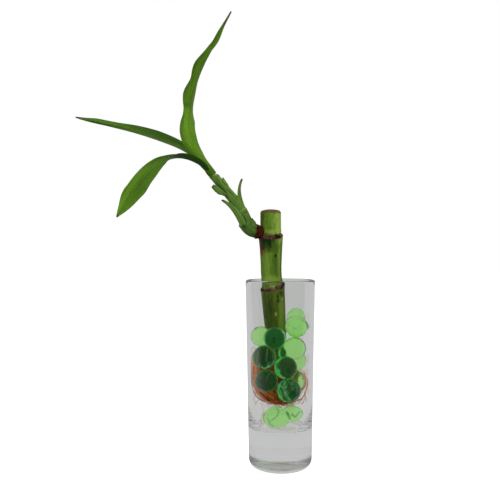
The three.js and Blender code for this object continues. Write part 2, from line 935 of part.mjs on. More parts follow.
function rootsGeometry() {
  let whole = crownSolid();
  for (let i = 0; i < ROOTS.strands; i += 1) {
    const points = rootPoints(i);
    if (points.length < ROOTS.fewestPoints) continue;
    const radiusAt = (u) => THREE.MathUtils.lerp(ROOTS.thick, ROOTS.thin, u);
    const line = new THREE.CatmullRomCurve3(points);
    whole = whole.add(solidOf(rod(line, radiusAt, points.length - 1, ROOTS.sides)));
  }
  for (const bead of beads) {
    const space = new THREE.IcosahedronGeometry(bead.radius + CLEARANCE, BEAD_DETAIL);
    whole = whole.subtract(solidOf(space.translate(...bead.middle.toArray())));
  }
  // Merging the corners again can pinch off a small hollow between strands, which is then filled.
  const cut = geometryOf(whole.subtract(caneSpace));
  return geometryOf(solidOf(cut));
}

// The whole plant in its glass

const plant = new THREE.Group();
plant.add(
  mesh('glass', glassGeometry(), COLOURS.glass),
  mesh('cane', caneGeometry(), COLOURS.cane),
  mesh('shoot', shootGeometry(), COLOURS.shoot),
  mesh('shoot_collar', collarGeometry(), COLOURS.collar),
  mesh('roots', rootsGeometry(), COLOURS.root),
);

const leafNames = Object.keys(LEAVES);
leafNames.forEach((name, i) => plant.add(seatedLeaf(name, leafNames.slice(0, i))));

beads.forEach(({ middle, radius }, i) => {
  const name = `water_bead_${String(i + 1).padStart(2, '0')}`;
  const bead = mesh(name, new THREE.IcosahedronGeometry(radius, BEAD_DETAIL), COLOURS.bead);
  bead.position.copy(middle);
  plant.add(bead);
});

export default plant;
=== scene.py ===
import math
import random

import bpy
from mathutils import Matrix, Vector, noise


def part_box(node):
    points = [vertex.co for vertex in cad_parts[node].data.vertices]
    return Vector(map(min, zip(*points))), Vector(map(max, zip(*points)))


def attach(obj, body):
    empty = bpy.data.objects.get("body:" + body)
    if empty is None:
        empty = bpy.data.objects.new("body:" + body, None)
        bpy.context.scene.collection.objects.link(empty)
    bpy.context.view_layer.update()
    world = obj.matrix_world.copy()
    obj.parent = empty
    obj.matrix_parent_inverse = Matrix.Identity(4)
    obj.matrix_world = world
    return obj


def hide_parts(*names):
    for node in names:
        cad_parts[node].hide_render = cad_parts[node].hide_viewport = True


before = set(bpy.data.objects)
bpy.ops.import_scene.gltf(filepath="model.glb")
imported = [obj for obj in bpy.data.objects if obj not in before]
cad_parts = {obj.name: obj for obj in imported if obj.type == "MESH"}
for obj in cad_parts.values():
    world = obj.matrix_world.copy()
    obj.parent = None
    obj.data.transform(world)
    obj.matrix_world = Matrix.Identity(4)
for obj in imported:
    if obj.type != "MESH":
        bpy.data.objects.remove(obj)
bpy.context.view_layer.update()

MM = 0.001
BODY = "root"

# Driving dimensions

GLASS = {
    "height": 105.0,
    "rim_radius": 19.5,
    "foot_radius": 17.8,
    "heel": 5.0,
    "wall": 1.8,
    "base": 21.8,
    "corner_reach": 4.2,
    "corner_rise": 15.0,
    "segments": 192,
    # How many rings each stretch of the section has.
    "foot_rings": 10,
    "arc_rings": 16,
    "wall_rings": 24,
    "corner_rings": 36,
    "floor_rings": 8,
}

CANE = {
    "line": [
        (-1.6, 8.3, 50.0), (-2.3, 8.8, 75.0), (-3.9, 9.2, 98.0),
        (-4.8, 9.4, 109.0), (-5.05, 9.5, 129.0), (-5.1, 9.5, 144.2),
    ],
    "profile": [
        (50.0, 5.5), (52.0, 5.95), (62.0, 5.95), (76.0, 6.2), (88.0, 6.7), (97.5, 7.0),
        (99.2, 7.2), (100.4, 7.1), (101.6, 6.4), (105.0, 6.05), (112.0, 6.05), (122.0, 6.45),
        (127.4, 6.85), (128.8, 7.0), (130.0, 6.8), (131.2, 6.15), (134.0, 5.95),
        (143.4, 6.0), (144.2, 5.7),
    ],
    "foot_inset": 0.6,
    "cut_tilt": math.radians(9),
    "cut_height": 6.0,
    # The cut top: how far it is below the top where its edge starts to round, and then its
    # rounded edge, its dry rim and its sunken face, as a drop and an inset.
    "edge": 0.4,
    "cut_rings": [(0.12, 0.12), (0.0, 0.4), (0.0, 0.8), (0.25, 1.2), (0.32, 3.0)],
    # How far below the top the bark starts to dry and is dry, and the heights between which the
    # old bark below turns into the young bark above.
    "drying": (2.2, 1.4),
    "old_to_young": (96.5, 102.0),
    # The two ringed leaf scars: height, how far the ring waves, half its thickness, its seed,
    # and how much higher the ring is on its right, and lower elsewhere.
    "scars": [(100.3, 0.5, 1.2, 3.1, 1.2), (129.6, 0.5, 1.4, 8.7, 0.5)],
    "sides": 96,
    "ring_step": 0.45,
}

SHOOT = {
    "line": [
        (-9.0, 8.6, 132.3), (-12.2, 7.0, 132.3), (-15.5, 5.8, 132.9), (-18.6, 5.2, 135.9),
        (-21.3, 4.6, 142.4), (-24.9, 4.0, 148.6), (-29.6, 3.5, 154.4), (-34.3, 3.0, 160.0),
        (-38.0, 2.4, 164.4), (-40.6, 1.8, 167.4),
    ],
    "radius": [
        (0.0, 2.2), (0.06, 2.4), (0.11, 2.9), (0.13, 3.7), (0.18, 4.1), (0.25, 4.3), (0.262, 3.85),
        (0.4, 3.5), (0.41, 3.2), (0.56, 3.0), (0.7, 2.75), (0.86, 2.55), (0.92, 2.5),
        (0.926, 1.3), (1.0, 0.7),
    ],
    # Where each sheath ends: share of the length, how far its rim slants, the turn where the
    # rim stands highest, in degrees, and how proud the rim is.
    "rims": [(0.252, 0.014, 170, 0.2), (0.405, 0.014, 20, 0.1), (0.905, 0.026, 160, 0.16)],
    "steps": 260,
    "sides": 56,
}

COLLAR = {
    "to": 0.112,
    "radii": [(0.0, 2.9), (0.03, 3.3), (0.06, 3.9), (0.112, 4.2)],
    "off_shoot": 0.3,
    "thinnest": 0.3,
    "steps": 14,
    "sides": 96,
}

# Each leaf leaves the shoot at two places on it, at this distance from the shoot's middle.
LEAF_SEATS = (0.918, 0.965)
LEAF_SEAT_DISTANCE = 1.95

BEAD_RADII = [6.5, 5.5, 6.6, 6.2, 5.8, 6.2, 5.7, 6.5, 6.2, 5.6, 6.1, 6.1, 5.5]
# One bead is pressed into a corner: its number, and where the corner's tip is.
BEAD_TIPS = {12: (16.2, -5.6, 79.3)}
# The beads at the bottom are squeezed wider: the number, a shift, and a stretch each way.
BEAD_SQUEEZE = {1: ((0.5, 0, -0.1), (1.17, 1.0, 1.0)), 2: ((-2.0, -0.6, 0.6), (1.16, 1.0, 0.98))}
# The beads in front whose gel is tinted deeper green, as painted shade for the dark roots and cane seen
# through them.
SHADE_TINTED_BEADS = {3, 4, 6, 8, 11}
# A bead that is clear where another stands in front of it: x and z of the spot, and its radius.
BEAD_CLEARED = {"number": 13, "middle": (9.3, 77.9), "radius": 5.6}
# Painted dark eyes, small dark balls of gel in the front beads for their lens image of the shaded
# inside: the bead's number, the place from its middle, the radius.
BEAD_DARK_EYES = [
    (11, (-0.4, -2.4, -0.5), 1.4), (6, (0.8, -2.4, -0.9), 1.5), (3, (1.6, -2.4, -1.5), 2.0),
]
# A loose bit of gel in front of the cane: its middle, half its size each way, and how much of the deep,
# painted shade tint it has.
GEL_BIT = {"middle": (0.6, -9.2, 65.2), "half": (2.3, 1.8, 3.0), "dye": 0.8}
# Creases on the front of a bead: its number, half the crease's width, and points as (x, z).
BEAD_CREASES = [
    (1, 0.3, [(-2.9, 35.5), (-1.3, 33.9), (-1.8, 31.7), (-3.4, 30.1), (-5.6, 28.4)]),
    (1, 0.35, [(-7.2, 29.5), (-6.1, 26.8), (-3.9, 25.0)]),
    (2, 0.65, [(2.2, 32.6), (5.4, 30.2), (8.4, 27.9)]),
    (2, 0.45, [(8.4, 27.9), (10.6, 30.8)]),
    (4, 0.25, [(-4.4, 55.4), (-7.4, 52.6), (-8.4, 49.0), (-6.4, 44.8)]),
    (8, 0.25, [(-7.4, 67.4), (-8.0, 62.0), (-6.2, 56.0)]),
    (8, 0.25, [(-12.4, 65.4), (-12.8, 61.0), (-10.4, 56.6)]),
    (3, 0.3, [(-0.8, 48.4), (1.6, 46.6), (2.2, 42.8), (5.0, 40.4)]),
    (9, 0.25, [(5.6, 61.6), (8.0, 60.9), (10.0, 61.6)]),
    (10, 0.5, [(-14.4, 77.4), (-12.8, 78.6)]),
]


# Numbers and lines

def lerp(a, b, share):
    return a + (b - a) * share


def clamp(value):
    return max(0.0, min(1.0, value))


def ease(value, start, end):
    """A smooth way from 0 at the start to 1 at the end, which may be the lower of the two."""
    share = clamp((value - start) / (end - start))
    return share * share * (3 - 2 * share)


def bell(value, middle, width):
    """A bump of height 1 round a middle."""
    return math.exp(-(((value - middle) / width) ** 2))


def rough(x, y, z=0.0, fine=1.0):
    """Smooth noise between about -1 and 1. It is finer in x and y where asked for."""
    return noise.noise(Vector((x * fine, y * fine, z)))


def around(sides):
    """The turns of a ring's points in degrees, each with its cosine and its sine."""
    for k in range(sides):
        degrees = 360 * k / sides
        yield degrees, math.cos(math.radians(degrees)), math.sin(math.radians(degrees))


def along(pairs, u):
    """The number at u on the smooth curve through a list of (u, number) pairs."""
    last = len(pairs) - 1
    above = next((i for i, (at, _) in enumerate(pairs) if at > u), None)
    i = last - 1 if above is None else max(above - 1, 0)

    def slope(k):
        u0, v0 = pairs[max(k - 1, 0)]
        u1, v1 = pairs[min(k + 1, last)]
        return (v1 - v0) / (u1 - u0)

    (u0, v0), (u1, v1) = pairs[i], pairs[i + 1]
    span = u1 - u0
    t = (u - u0) / span
    rise = t * t * (3 - 2 * t)
    bend_in = t * (1 - t) * (1 - t) * span
    bend_out = t * t * (t - 1) * span
    return v0 + rise * (v1 - v0) + bend_in * slope(i) + bend_out * slope(i + 1)


def straight_along(pairs, u):
    """The number at u in a list of (u, number) pairs, with straight stretches between them."""
    i = 1
    while i < len(pairs) - 1 and pairs[i][0] < u:
        i += 1
    (u0, v0), (u1, v1) = pairs[i - 1], pairs[i]
    return lerp(v0, v1, clamp((u - u0) / (u1 - u0)))


def across(vector, axis):
    """What is left of a vector once its share along a unit axis is taken off, at length 1."""
    return (vector - axis * vector.dot(axis)).normalized()


class SmoothLine:
    """A centripetal curve through points, walked by its length."""

    SAMPLES = 200

    def __init__(self, points):
        inner = [Vector(p) for p in points]
        self.points = [inner[0] * 2 - inner[1], *inner, inner[-1] * 2 - inner[-2]]
        self.walked = [0.0]
        before = self._raw(0.0)
        for i in range(1, self.SAMPLES + 1):
            here = self._raw(i / self.SAMPLES)
            self.walked.append(self.walked[-1] + (here - before).length)
            before = here
        self.length = self.walked[-1]

    def _raw(self, t):
        spans = len(self.points) - 3
        i = min(int(t * spans), spans - 1)
        w = t * spans - i
        p0, p1, p2, p3 = self.points[i:i + 4]
        d0, d1, d2 = ((b - a).length_squared ** 0.25 for a, b in ((p0, p1), (p1, p2), (p2, p3)))
        t1 = ((p1 - p0) / d0 - (p2 - p0) / (d0 + d1) + (p2 - p1) / d1) * d1
        t2 = ((p2 - p1) / d1 - (p3 - p1) / (d1 + d2) + (p3 - p2) / d2) * d1
        c2 = p1 * -3 + p2 * 3 - t1 * 2 - t2
        c3 = p1 * 2 - p2 * 2 + t1 + t2
        return p1 + t1 * w + c2 * w * w + c3 * w ** 3

    def _place(self, u):
        goal = clamp(u) * self.length
        low, high = 0, self.SAMPLES
        while high - low > 1:
            middle = (low + high) // 2
            if self.walked[middle] <= goal:
                low = middle
            else:
                high = middle
        step = self.walked[high] - self.walked[low]
        return (low + (goal - self.walked[low]) / step) / self.SAMPLES

    def at(self, u):
        return self._raw(self._place(u))

    def tangent(self, u):
        place = self._place(u)
        return (self._raw(min(place + 1e-4, 1.0)) - self._raw(max(place - 1e-4, 0.0))).normalized()


# Meshes

def linked(name, data):
    thing = bpy.data.objects.new(name, data)
    bpy.context.scene.collection.objects.link(thing)
    return thing


def outward(points, faces):
    """The faces of a closed skin, all turned over if they look inwards."""
    volume = 0.0
    for first, *others in faces:
        for b, c in zip(others, others[1:]):
            volume += points[first].dot(points[b].cross(points[c]))
    return faces if volume > 0 else [tuple(face[::-1]) for face in faces]


def add_masks(mesh, rows):
    """Stores what each point's row says, a number or three under each label, on the mesh."""
    for label, first in rows[0].items():
        values = [row[label] for row in rows]
        kind, key = "FLOAT", "value"
        if isinstance(first, tuple):
            kind, key = "FLOAT_VECTOR", "vector"
            values = [number for value in values for number in value]
        mesh.attributes.new(label, kind, "POINT").data.foreach_set(key, values)


def make_piece(name, points, faces, rows, material, slot, *replaced):
    """A piece from millimetre points and faces, with a row of masks for each point."""
    points = [Vector(p) for p in points]
    mesh = bpy.data.meshes.new(name)
    mesh.from_pydata([tuple(p * MM) for p in points], [], outward(points, faces))
    mesh.update()
    add_masks(mesh, rows)
    finish_piece(name, mesh, material, slot, *replaced)


def finish_piece(name, mesh, material, slot, *replaced):
    mesh.polygons.foreach_set("use_smooth", [True] * len(mesh.polygons))
    mesh.materials.clear()
    mesh.materials.append(material)
    piece = linked(name, mesh)
    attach(piece, BODY)
    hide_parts(*replaced)


def skin(count, sides, loop=False):
    """Faces over a count of rings that have the same sides, numbered ring by ring.

    In a loop the last ring joins the first. Otherwise the ends are closed, and the middle of
    the first ring and that of the last come after all the rings.
    """
    faces = []
    for i in range(count if loop else count - 1):
        upper = (i + 1) % count
        for k in range(sides):
            after = (k + 1) % sides
            faces.append((i * sides + k, i * sides + after, upper * sides + after, upper * sides + k))
    if not loop:
        first, last = count * sides, count * sides + 1
        for k in range(sides):
            after = (k + 1) % sides
            faces.append((first, after, k))
            faces.append((last, (count - 1) * sides + k, (count - 1) * sides + after))
    return faces


def arc(x, z, reach, rise, start, end, steps):
    turns = [start + (end - start) * i / steps for i in range(steps + 1)]
    return [(x + reach * math.cos(t), z + rise * math.sin(t)) for t in turns]


# Shader nodes

def tone(red, green, blue):
    """A colour given as a screen shows it, 0 to 255, for a shader's socket."""
    def linear(value):
        share = value / 255
        return share / 12.92 if share <= 0.04045 else ((share + 0.055) / 1.055) ** 2.4
    return (linear(red), linear(green), linear(blue), 1.0)


class Tree:
    """A node tree that is built up call by call."""

    def __init__(self, tree):
        self.tree = tree

    def put(self, socket, value):
        """Links another node's output to a socket, or gives it a plain value."""
        if isinstance(value, bpy.types.NodeSocket):
            self.tree.links.new(value, socket)
        else:
            socket.default_value = value

    def add(self, kind, values=None, **settings):
        """The outputs of a new node, with a value or a link for each input by name or number."""
        node = self.tree.nodes.new(kind)
        for key, value in settings.items():
            setattr(node, key, value)
        for key, value in (values or {}).items():
            self.put(node.inputs[key], value)
        return node.outputs

    def maths(self, operation, a, b=0.0, c=0.0):
        return self.add("ShaderNodeMath", {0: a, 1: b, 2: c}, operation=operation)[0]

    def vectors(self, operation, values, output="Vector"):
        return self.add("ShaderNodeVectorMath", values, operation=operation)[output]

    def triple(self, x, y=0.0, z=0.0):
        return self.add("ShaderNodeCombineXYZ", {0: x, 1: y, 2: z})[0]

    def mix(self, factor, a, b, blend="MIX"):
        # The Mix node has other sockets for other types: these are the ones for colours.
        values = {0: factor, 6: a, 7: b}
        return self.add("ShaderNodeMix", values, data_type="RGBA", blend_type=blend)[2]

    def paint(self, colour, **coats):
        """A colour with others laid over it in turn, each where the mask of its name is."""
        for label, coat in coats.items():
            colour = self.mix(self.mask(label), colour, coat)
        return colour

    def grey(self, value):
        return self.add("ShaderNodeCombineColor", {0: value, 1: value, 2: value})[0]

    def mask(self, name):
        return self.add("ShaderNodeAttribute", attribute_name=name)["Fac"]

    def range(self, value, low, high, to_low=0.0, to_high=1.0):
        values = {0: value, 1: low, 2: high, 3: to_low, 4: to_high}
        return self.add("ShaderNodeMapRange", values)[0]

    def noise(self, vector, scale, detail, roughness=0.5):
        values = {"Vector": vector, "Scale": scale, "Detail": detail, "Roughness": roughness}
        return self.add("ShaderNodeTexNoise", values)[0]

    def position(self):
        return self.add("ShaderNodeTexCoord")["Object"]

    def bump(self, height, distance, strength):
        values = {"Height": height, "Distance": distance, "Strength": strength}
        return self.add("ShaderNodeBump", values)[0]

    def veins(self, spacing, seed):
        """Fine lines, by the piece's own masks for across, depth and run."""
        values = {label: self.mask(label.lower()) for label in ("Across", "Depth", "Run")}
        values |= {"Spacing": spacing, "Seed": seed}
        return self.add("ShaderNodeGroup", values, node_tree=VEINS)

    def mottle(self, patch, grain, seed):
        values = {"Patch Size": patch, "Grain Size": grain, "Seed": seed}
        return self.add("ShaderNodeGroup", values, node_tree=MOTTLE)


NUMBER_SOCKETS = {float: "NodeSocketFloat", int: "NodeSocketInt"}


def new_group(name, inputs, outputs, kind="ShaderNodeTree"):
    """A node group with an input for each name, given its default number or its type."""
    group = bpy.data.node_groups.new(name, kind)
    for label, given in inputs.items():
        socket_type = NUMBER_SOCKETS.get(type(given), given)
        socket = group.interface.new_socket(name=label, in_out="INPUT", socket_type=socket_type)
        if type(given) in NUMBER_SOCKETS:
            socket.default_value = given
    made = "NodeSocketGeometry" if kind == "GeometryNodeTree" else "NodeSocketFloat"
    for label in outputs:
        group.interface.new_socket(name=label, in_out="OUTPUT", socket_type=made)
    tree = Tree(group)
    return group, tree, tree.add("NodeGroupInput"), group.nodes.new("NodeGroupOutput").inputs


def veins_group():
    """Fine lines that run along a blade or a stem, from its own measures."""
    inputs = {"Across": 0.0, "Depth": 0.0, "Run": 0.0, "Spacing": 0.5, "Seed": 0.0}
    group, tree, source, sink = new_group("Parallel veins", inputs, ("Lines", "Streaks", "Blotches"))
    # Each output: how much finer than a millimetre across, how slow along, and its noise detail.
    fine = tree.maths("DIVIDE", 1.0, source["Spacing"])
    for label, finer, slower, detail in (
        ("Lines", fine, 0.035, 2.0), ("Streaks", 0.75, 0.05, 3.0), ("Blotches", 0.32, 0.08, 4.0),
    ):
        place = tree.triple(
            tree.maths("MULTIPLY", source["Across"], finer),
            tree.maths("MULTIPLY", source["Depth"], finer),
            tree.maths("MULTIPLY_ADD", source["Run"], slower, source["Seed"]),
        )
        tree.put(sink[label], tree.noise(place, 1.0, detail, 0.58))
    return group


def mottle_group():
    """Soft patches and fine grain over the object's own space."""
    inputs = {"Patch Size": 0.006, "Grain Size": 0.0006, "Seed": 0.0}
    group, tree, source, sink = new_group("Mottle", inputs, ("Patches", "Grain"))
    place = tree.vectors("ADD", {0: tree.position(), 1: tree.triple(source["Seed"])})
    for size, label, detail in (("Patch Size", "Patches", 4.0), ("Grain Size", "Grain", 2.0)):
        scale = tree.maths("DIVIDE", 1.0, source[size])
        tree.put(sink[label], tree.noise(place, scale, detail, 0.55))
    return group


VEINS = veins_group()
MOTTLE = mottle_group()


# Finishes

# How much glass and gel mirror, which would else veil what is behind them.
GLASS_GLINT = (0.85, 0.85, 0.85, 1)
GEL_GLINT = (0.15, 0.15, 0.15, 1)
# How weakly living bark and leaf mirror the pale studio.
PLANT_GLOSS = 0.08


def new_material(name):
    material = bpy.data.materials.new(name)
    material.use_nodes = True
    return material, Tree(material.node_tree), material.node_tree.nodes["Principled BSDF"]


def feed(tree, shader, **values):
    """Sets or links the shader's own sockets, named with _ for each space."""
    for key, value in values.items():
        tree.put(shader.inputs[key.replace("_", " ")], value)


def surface(tree):
    return tree.tree.nodes["Material Output"].inputs["Surface"]


def let_light_in(tree, shader, tint):
    """Lets lamps shine through a clear finish, onto what is inside and behind it."""
    shadow_ray = tree.add("ShaderNodeLightPath")["Is Shadow Ray"]
    clear = tree.add("ShaderNodeBsdfTransparent", {"Color": tint})[0]
    values = {0: shadow_ray, 1: shader.outputs[0], 2: clear}
    tree.put(surface(tree), tree.add("ShaderNodeMixShader", values)[0])


def glass_finish():
    material, tree, shader = new_material("drawn_clear_glass")
    ripple = tree.mottle(0.03, 0.008, 2.0)["Patches"]
    feed(
        tree, shader, Base_Color=(0.975, 0.985, 0.98, 1), IOR=1.5, Transmission_Weight=1.0,
        Roughness=tree.maths("MULTIPLY", tree.mask("ground"), 0.6), Specular_Tint=GLASS_GLINT,
        Normal=tree.bump(ripple, 0.0002, 0.35),
    )
    let_light_in(tree, shader, (0.95, 0.95, 0.95, 1))
    return material


def gel_finish():
    material, tree, shader = new_material("green_water_gel")
    grain = tree.mottle(0.0055, 0.0016, 5.0)
    light = tree.mix(grain["Patches"], (0.46, 1.0, 0.29, 1), (0.58, 1.0, 0.38, 1))
    # The front beads' deep tint is painted shade for the dark roots and cane seen through them, and the
    # dark eyes are painted lens images of that shaded inside.
    deep = tree.mix(grain["Patches"], (0.08, 0.54, 0.18, 1), (0.15, 0.68, 0.25, 1))
    # The crease lines are painted shade lines on the light beads and painted light lines on the deep
    # ones, where the creases bend the light.
    crease = tree.mix(tree.mask("dye"), (0.10, 0.34, 0.12, 1), (0.80, 1.0, 0.74, 1))
    tint = tree.paint(light, dye=deep, kernel=(0.04, 0.20, 0.08, 1), crease=crease)
    # Near a ball's outline the light's way through the gel is short, so the painted deep tint shows
    # less.
    facing = tree.add("ShaderNodeLayerWeight", {"Blend": 0.5})["Facing"]
    outline = tree.maths("MULTIPLY", tree.range(facing, 0.45, 0.8, 0.0, 0.8), tree.mask("dye"))
    tint = tree.mix(outline, tint, (0.42, 1.0, 0.40, 1))
    tint = tree.paint(tint, clear=(0.95, 1.0, 0.92, 1))
    # A crease is a low ridge in the skin, which bends the light like a thin lens.
    relief = tree.maths("MULTIPLY_ADD", tree.mask("crease"), 1.6, grain["Grain"])
    feed(
        tree, shader, Base_Color=tint, IOR=1.34, Transmission_Weight=0.965,
        Roughness=tree.maths("MULTIPLY", tree.mask("tip"), 0.3),
        Specular_IOR_Level=PLANT_GLOSS, Specular_Tint=GEL_GLINT,
        Normal=tree.bump(relief, 0.00025, 0.4),
    )
    let_light_in(tree, shader, (0.7, 0.95, 0.6, 1))
    return material


def plant_finish(name, make):
    """A finish of the plant, from what makes its colour, its roughness and its relief."""
    material, tree, shader = new_material(name)
    colour, roughness, relief = make(tree)
    feed(
        tree, shader, Base_Color=colour, Roughness=roughness, Specular_IOR_Level=PLANT_GLOSS,
        Normal=tree.bump(*relief),
    )
    return material


def bark(tree):
    streaks, grain = tree.veins(0.5, 4.0), tree.mottle(0.0025, 0.0005, 1.0)
    wide = tree.range(streaks["Streaks"], 0.3, 0.7)
    young = tree.mix(wide, tone(72, 102, 26), tone(98, 130, 38))
    old = tree.mix(wide, tone(62, 84, 16), tone(98, 118, 30))
    body = tree.paint(young, age=old)
    lines = tree.grey(tree.range(streaks["Lines"], 0.3, 0.7, 0.8, 1.12))
    shaded = tree.mix(1.0, body, lines, "MULTIPLY")
    worn = tree.range(grain["Patches"], 0.58, 0.72, 0.0, 0.2)
    lumps = tree.range(grain["Patches"], 0.4, 0.65)
    # The dark and bright coats hold dark patches and lighter streaks in the bark, and also painted
    # shade on the cane's left and painted light on its right.
    coloured = tree.paint(
        tree.mix(worn, shaded, tone(42, 50, 12)),
        dark=tone(12, 36, 8),
        bright=tone(148, 174, 74),
        pale=tone(158, 166, 104),
        rust=tree.mix(grain["Patches"], tone(40, 10, 4), tone(104, 34, 20)),
        scar=tree.mix(lumps, tone(22, 12, 6), tone(112, 76, 60)),
        cut=tree.mix(grain["Grain"], tone(66, 46, 30), tone(108, 84, 60)),
    )
    height = tree.maths("ADD", streaks["Lines"], tree.maths("MULTIPLY", grain["Grain"], 0.6))
    worn_off = tree.maths("ADD", tree.mask("scar"), grain["Patches"])
    return coloured, tree.range(worn_off, 0.2, 1.4, 0.4, 0.75), (height, 0.00018, 0.6)


def leaf_green(dark, light, dry_tones, seed):
    def make(tree):
        veins, grain = tree.veins(0.42, seed), tree.mottle(0.009, 0.0004, seed)
        body = tree.mix(tree.range(veins["Streaks"], 0.3, 0.7), dark, light)
        body = tree.mix(tree.range(veins["Blotches"], 0.45, 0.75, 0.0, 0.5), body, dark)
        # Over the greens go painted light (bright) and painted shade (shade), and the pale of rims and
        # edges; on the shoot the shade mask also holds its dark patches.
        coloured = tree.paint(
            body, bright=tone(118, 164, 38), shade=tone(22, 54, 12), pale=tone(146, 176, 92),
        )
        lines = tree.grey(tree.range(veins["Lines"], 0.3, 0.7, 0.78, 1.16))
        coloured = tree.mix(1.0, coloured, lines, "MULTIPLY")
        dry = tree.mix(tree.range(grain["Patches"], 0.35, 0.65), *dry_tones)
        coloured = tree.paint(coloured, dry=dry)
        height = tree.maths("ADD", veins["Lines"], tree.maths("MULTIPLY", grain["Grain"], 0.25))
        dried = tree.maths("ADD", tree.mask("dry"), grain["Patches"])
        return coloured, tree.range(dried, 0.2, 1.4, 0.36, 0.8), (height, 0.00016, 0.55)
    return make


def root_orange(tree):
    grain = tree.mottle(0.005, 0.0007, 7.0)
    young = tree.mix(grain["Patches"], tone(210, 80, 24), tone(246, 140, 60))
    old = tree.mix(grain["Patches"], tone(66, 12, 4), tone(164, 56, 16))
    coloured = tree.paint(young, age=old, pale=tone(222, 168, 104))
    return coloured, tree.range(grain["Grain"], 0.3, 0.7, 0.25, 0.6), (grain["Grain"], 0.00015, 0.7)


def dry_brown(tree):
    fibres, grain = tree.veins(0.3, 9.0), tree.mottle(0.002, 0.0003, 3.0)
    body = tree.mix(tree.range(fibres["Lines"], 0.3, 0.7), tone(26, 6, 3), tone(84, 24, 12))
    coloured = tree.mix(tree.range(grain["Patches"], 0.5, 0.75), body, tone(66, 40, 16))
    height = tree.maths("ADD", fibres["Lines"], grain["Grain"])
    return coloured, 0.72, (height, 0.0003, 0.8)


CLEAR_GLASS = glass_finish()
GEL = gel_finish()
BARK = plant_finish("living_cane_bark", bark)
ROOT = plant_finish("wet_orange_roots", root_orange)
DRY_SCALE = plant_finish("dry_red_brown_scale", dry_brown)
LEAF_GREEN = plant_finish("satin_leaf", leaf_green(
    tone(50, 82, 10), tone(82, 120, 26), (tone(44, 36, 16), tone(96, 84, 46)), 1.5,
))
SHEATH_GREEN = plant_finish("waxy_sheath", leaf_green(
    tone(68, 102, 35), tone(108, 140, 60), (tone(48, 54, 34), tone(84, 88, 58)), 12.5,
))


# The glass

def outer_radius(z):
    share = (z - GLASS["heel"]) / (GLASS["height"] - GLASS["heel"])
    return lerp(GLASS["foot_radius"], GLASS["rim_radius"], share)


def glass_profile():
    """Half of the glass's section as (radius, height), from the foot's middle up, over and in."""
    wall, height, heel, base = (GLASS[key] for key in ("wall", "height", "heel", "base"))
    reach, rise = GLASS["corner_reach"], GLASS["corner_rise"]
    flat, lip, quarter = GLASS["foot_radius"] - heel, wall / 2, math.pi / 2
    outside = arc(flat, heel, heel, heel, -quarter, 0, GLASS["arc_rings"])
    rim = arc(GLASS["rim_radius"] - lip, height - lip, lip, lip, 0, math.pi, GLASS["arc_rings"])
    corner_middle = outer_radius(base + rise) - wall - reach
    corner = arc(corner_middle, base + rise, reach, rise, 0, -quarter, GLASS["corner_rings"])
    in_foot, in_wall, in_floor = (GLASS[part + "_rings"] for part in ("foot", "wall", "floor"))
    foot = [(flat * i / in_foot, 0.0) for i in range(in_foot)]
    shares = [i / in_wall for i in range(1, in_wall)]
    side = [(outer_radius(z), z) for z in (lerp(heel, height - lip, share) for share in shares)]
    inside = [tuple(lerp(a, b, share) for a, b in zip(rim[-1], corner[0])) for share in shares]
    floor = [(corner[-1][0] * (1 - i / in_floor), base) for i in range(1, in_floor + 1)]
    return [*foot, *outside, *side, *rim, *inside, *corner, *floor]


def glass_piece():
    first, *rings, last = glass_profile()
    segments = GLASS["segments"]
    points = [(r * x, r * y, z) for r, z in rings for _, x, y in around(segments)]
    points += [(0, 0, first[1]), (0, 0, last[1])]
    # The flat of the foot is ground, and the heel is a little worn.
    rows = [{"ground": 1 - 0.5 * ease(z, 0.0, 0.4) - 0.5 * ease(z, 2.0, 6.0)} for *_, z in points]
    make_piece("glass_body", points, skin(len(rings), segments), rows, CLEAR_GLASS, "glass", "glass")


# The cane

def cane_middle(z):
    x, y = (straight_along([(p[2], p[axis]) for p in CANE["line"]], z) for axis in (0, 1))
    return Vector((x, y, z))


def cane_radius(z):
    return straight_along(CANE["profile"], z)


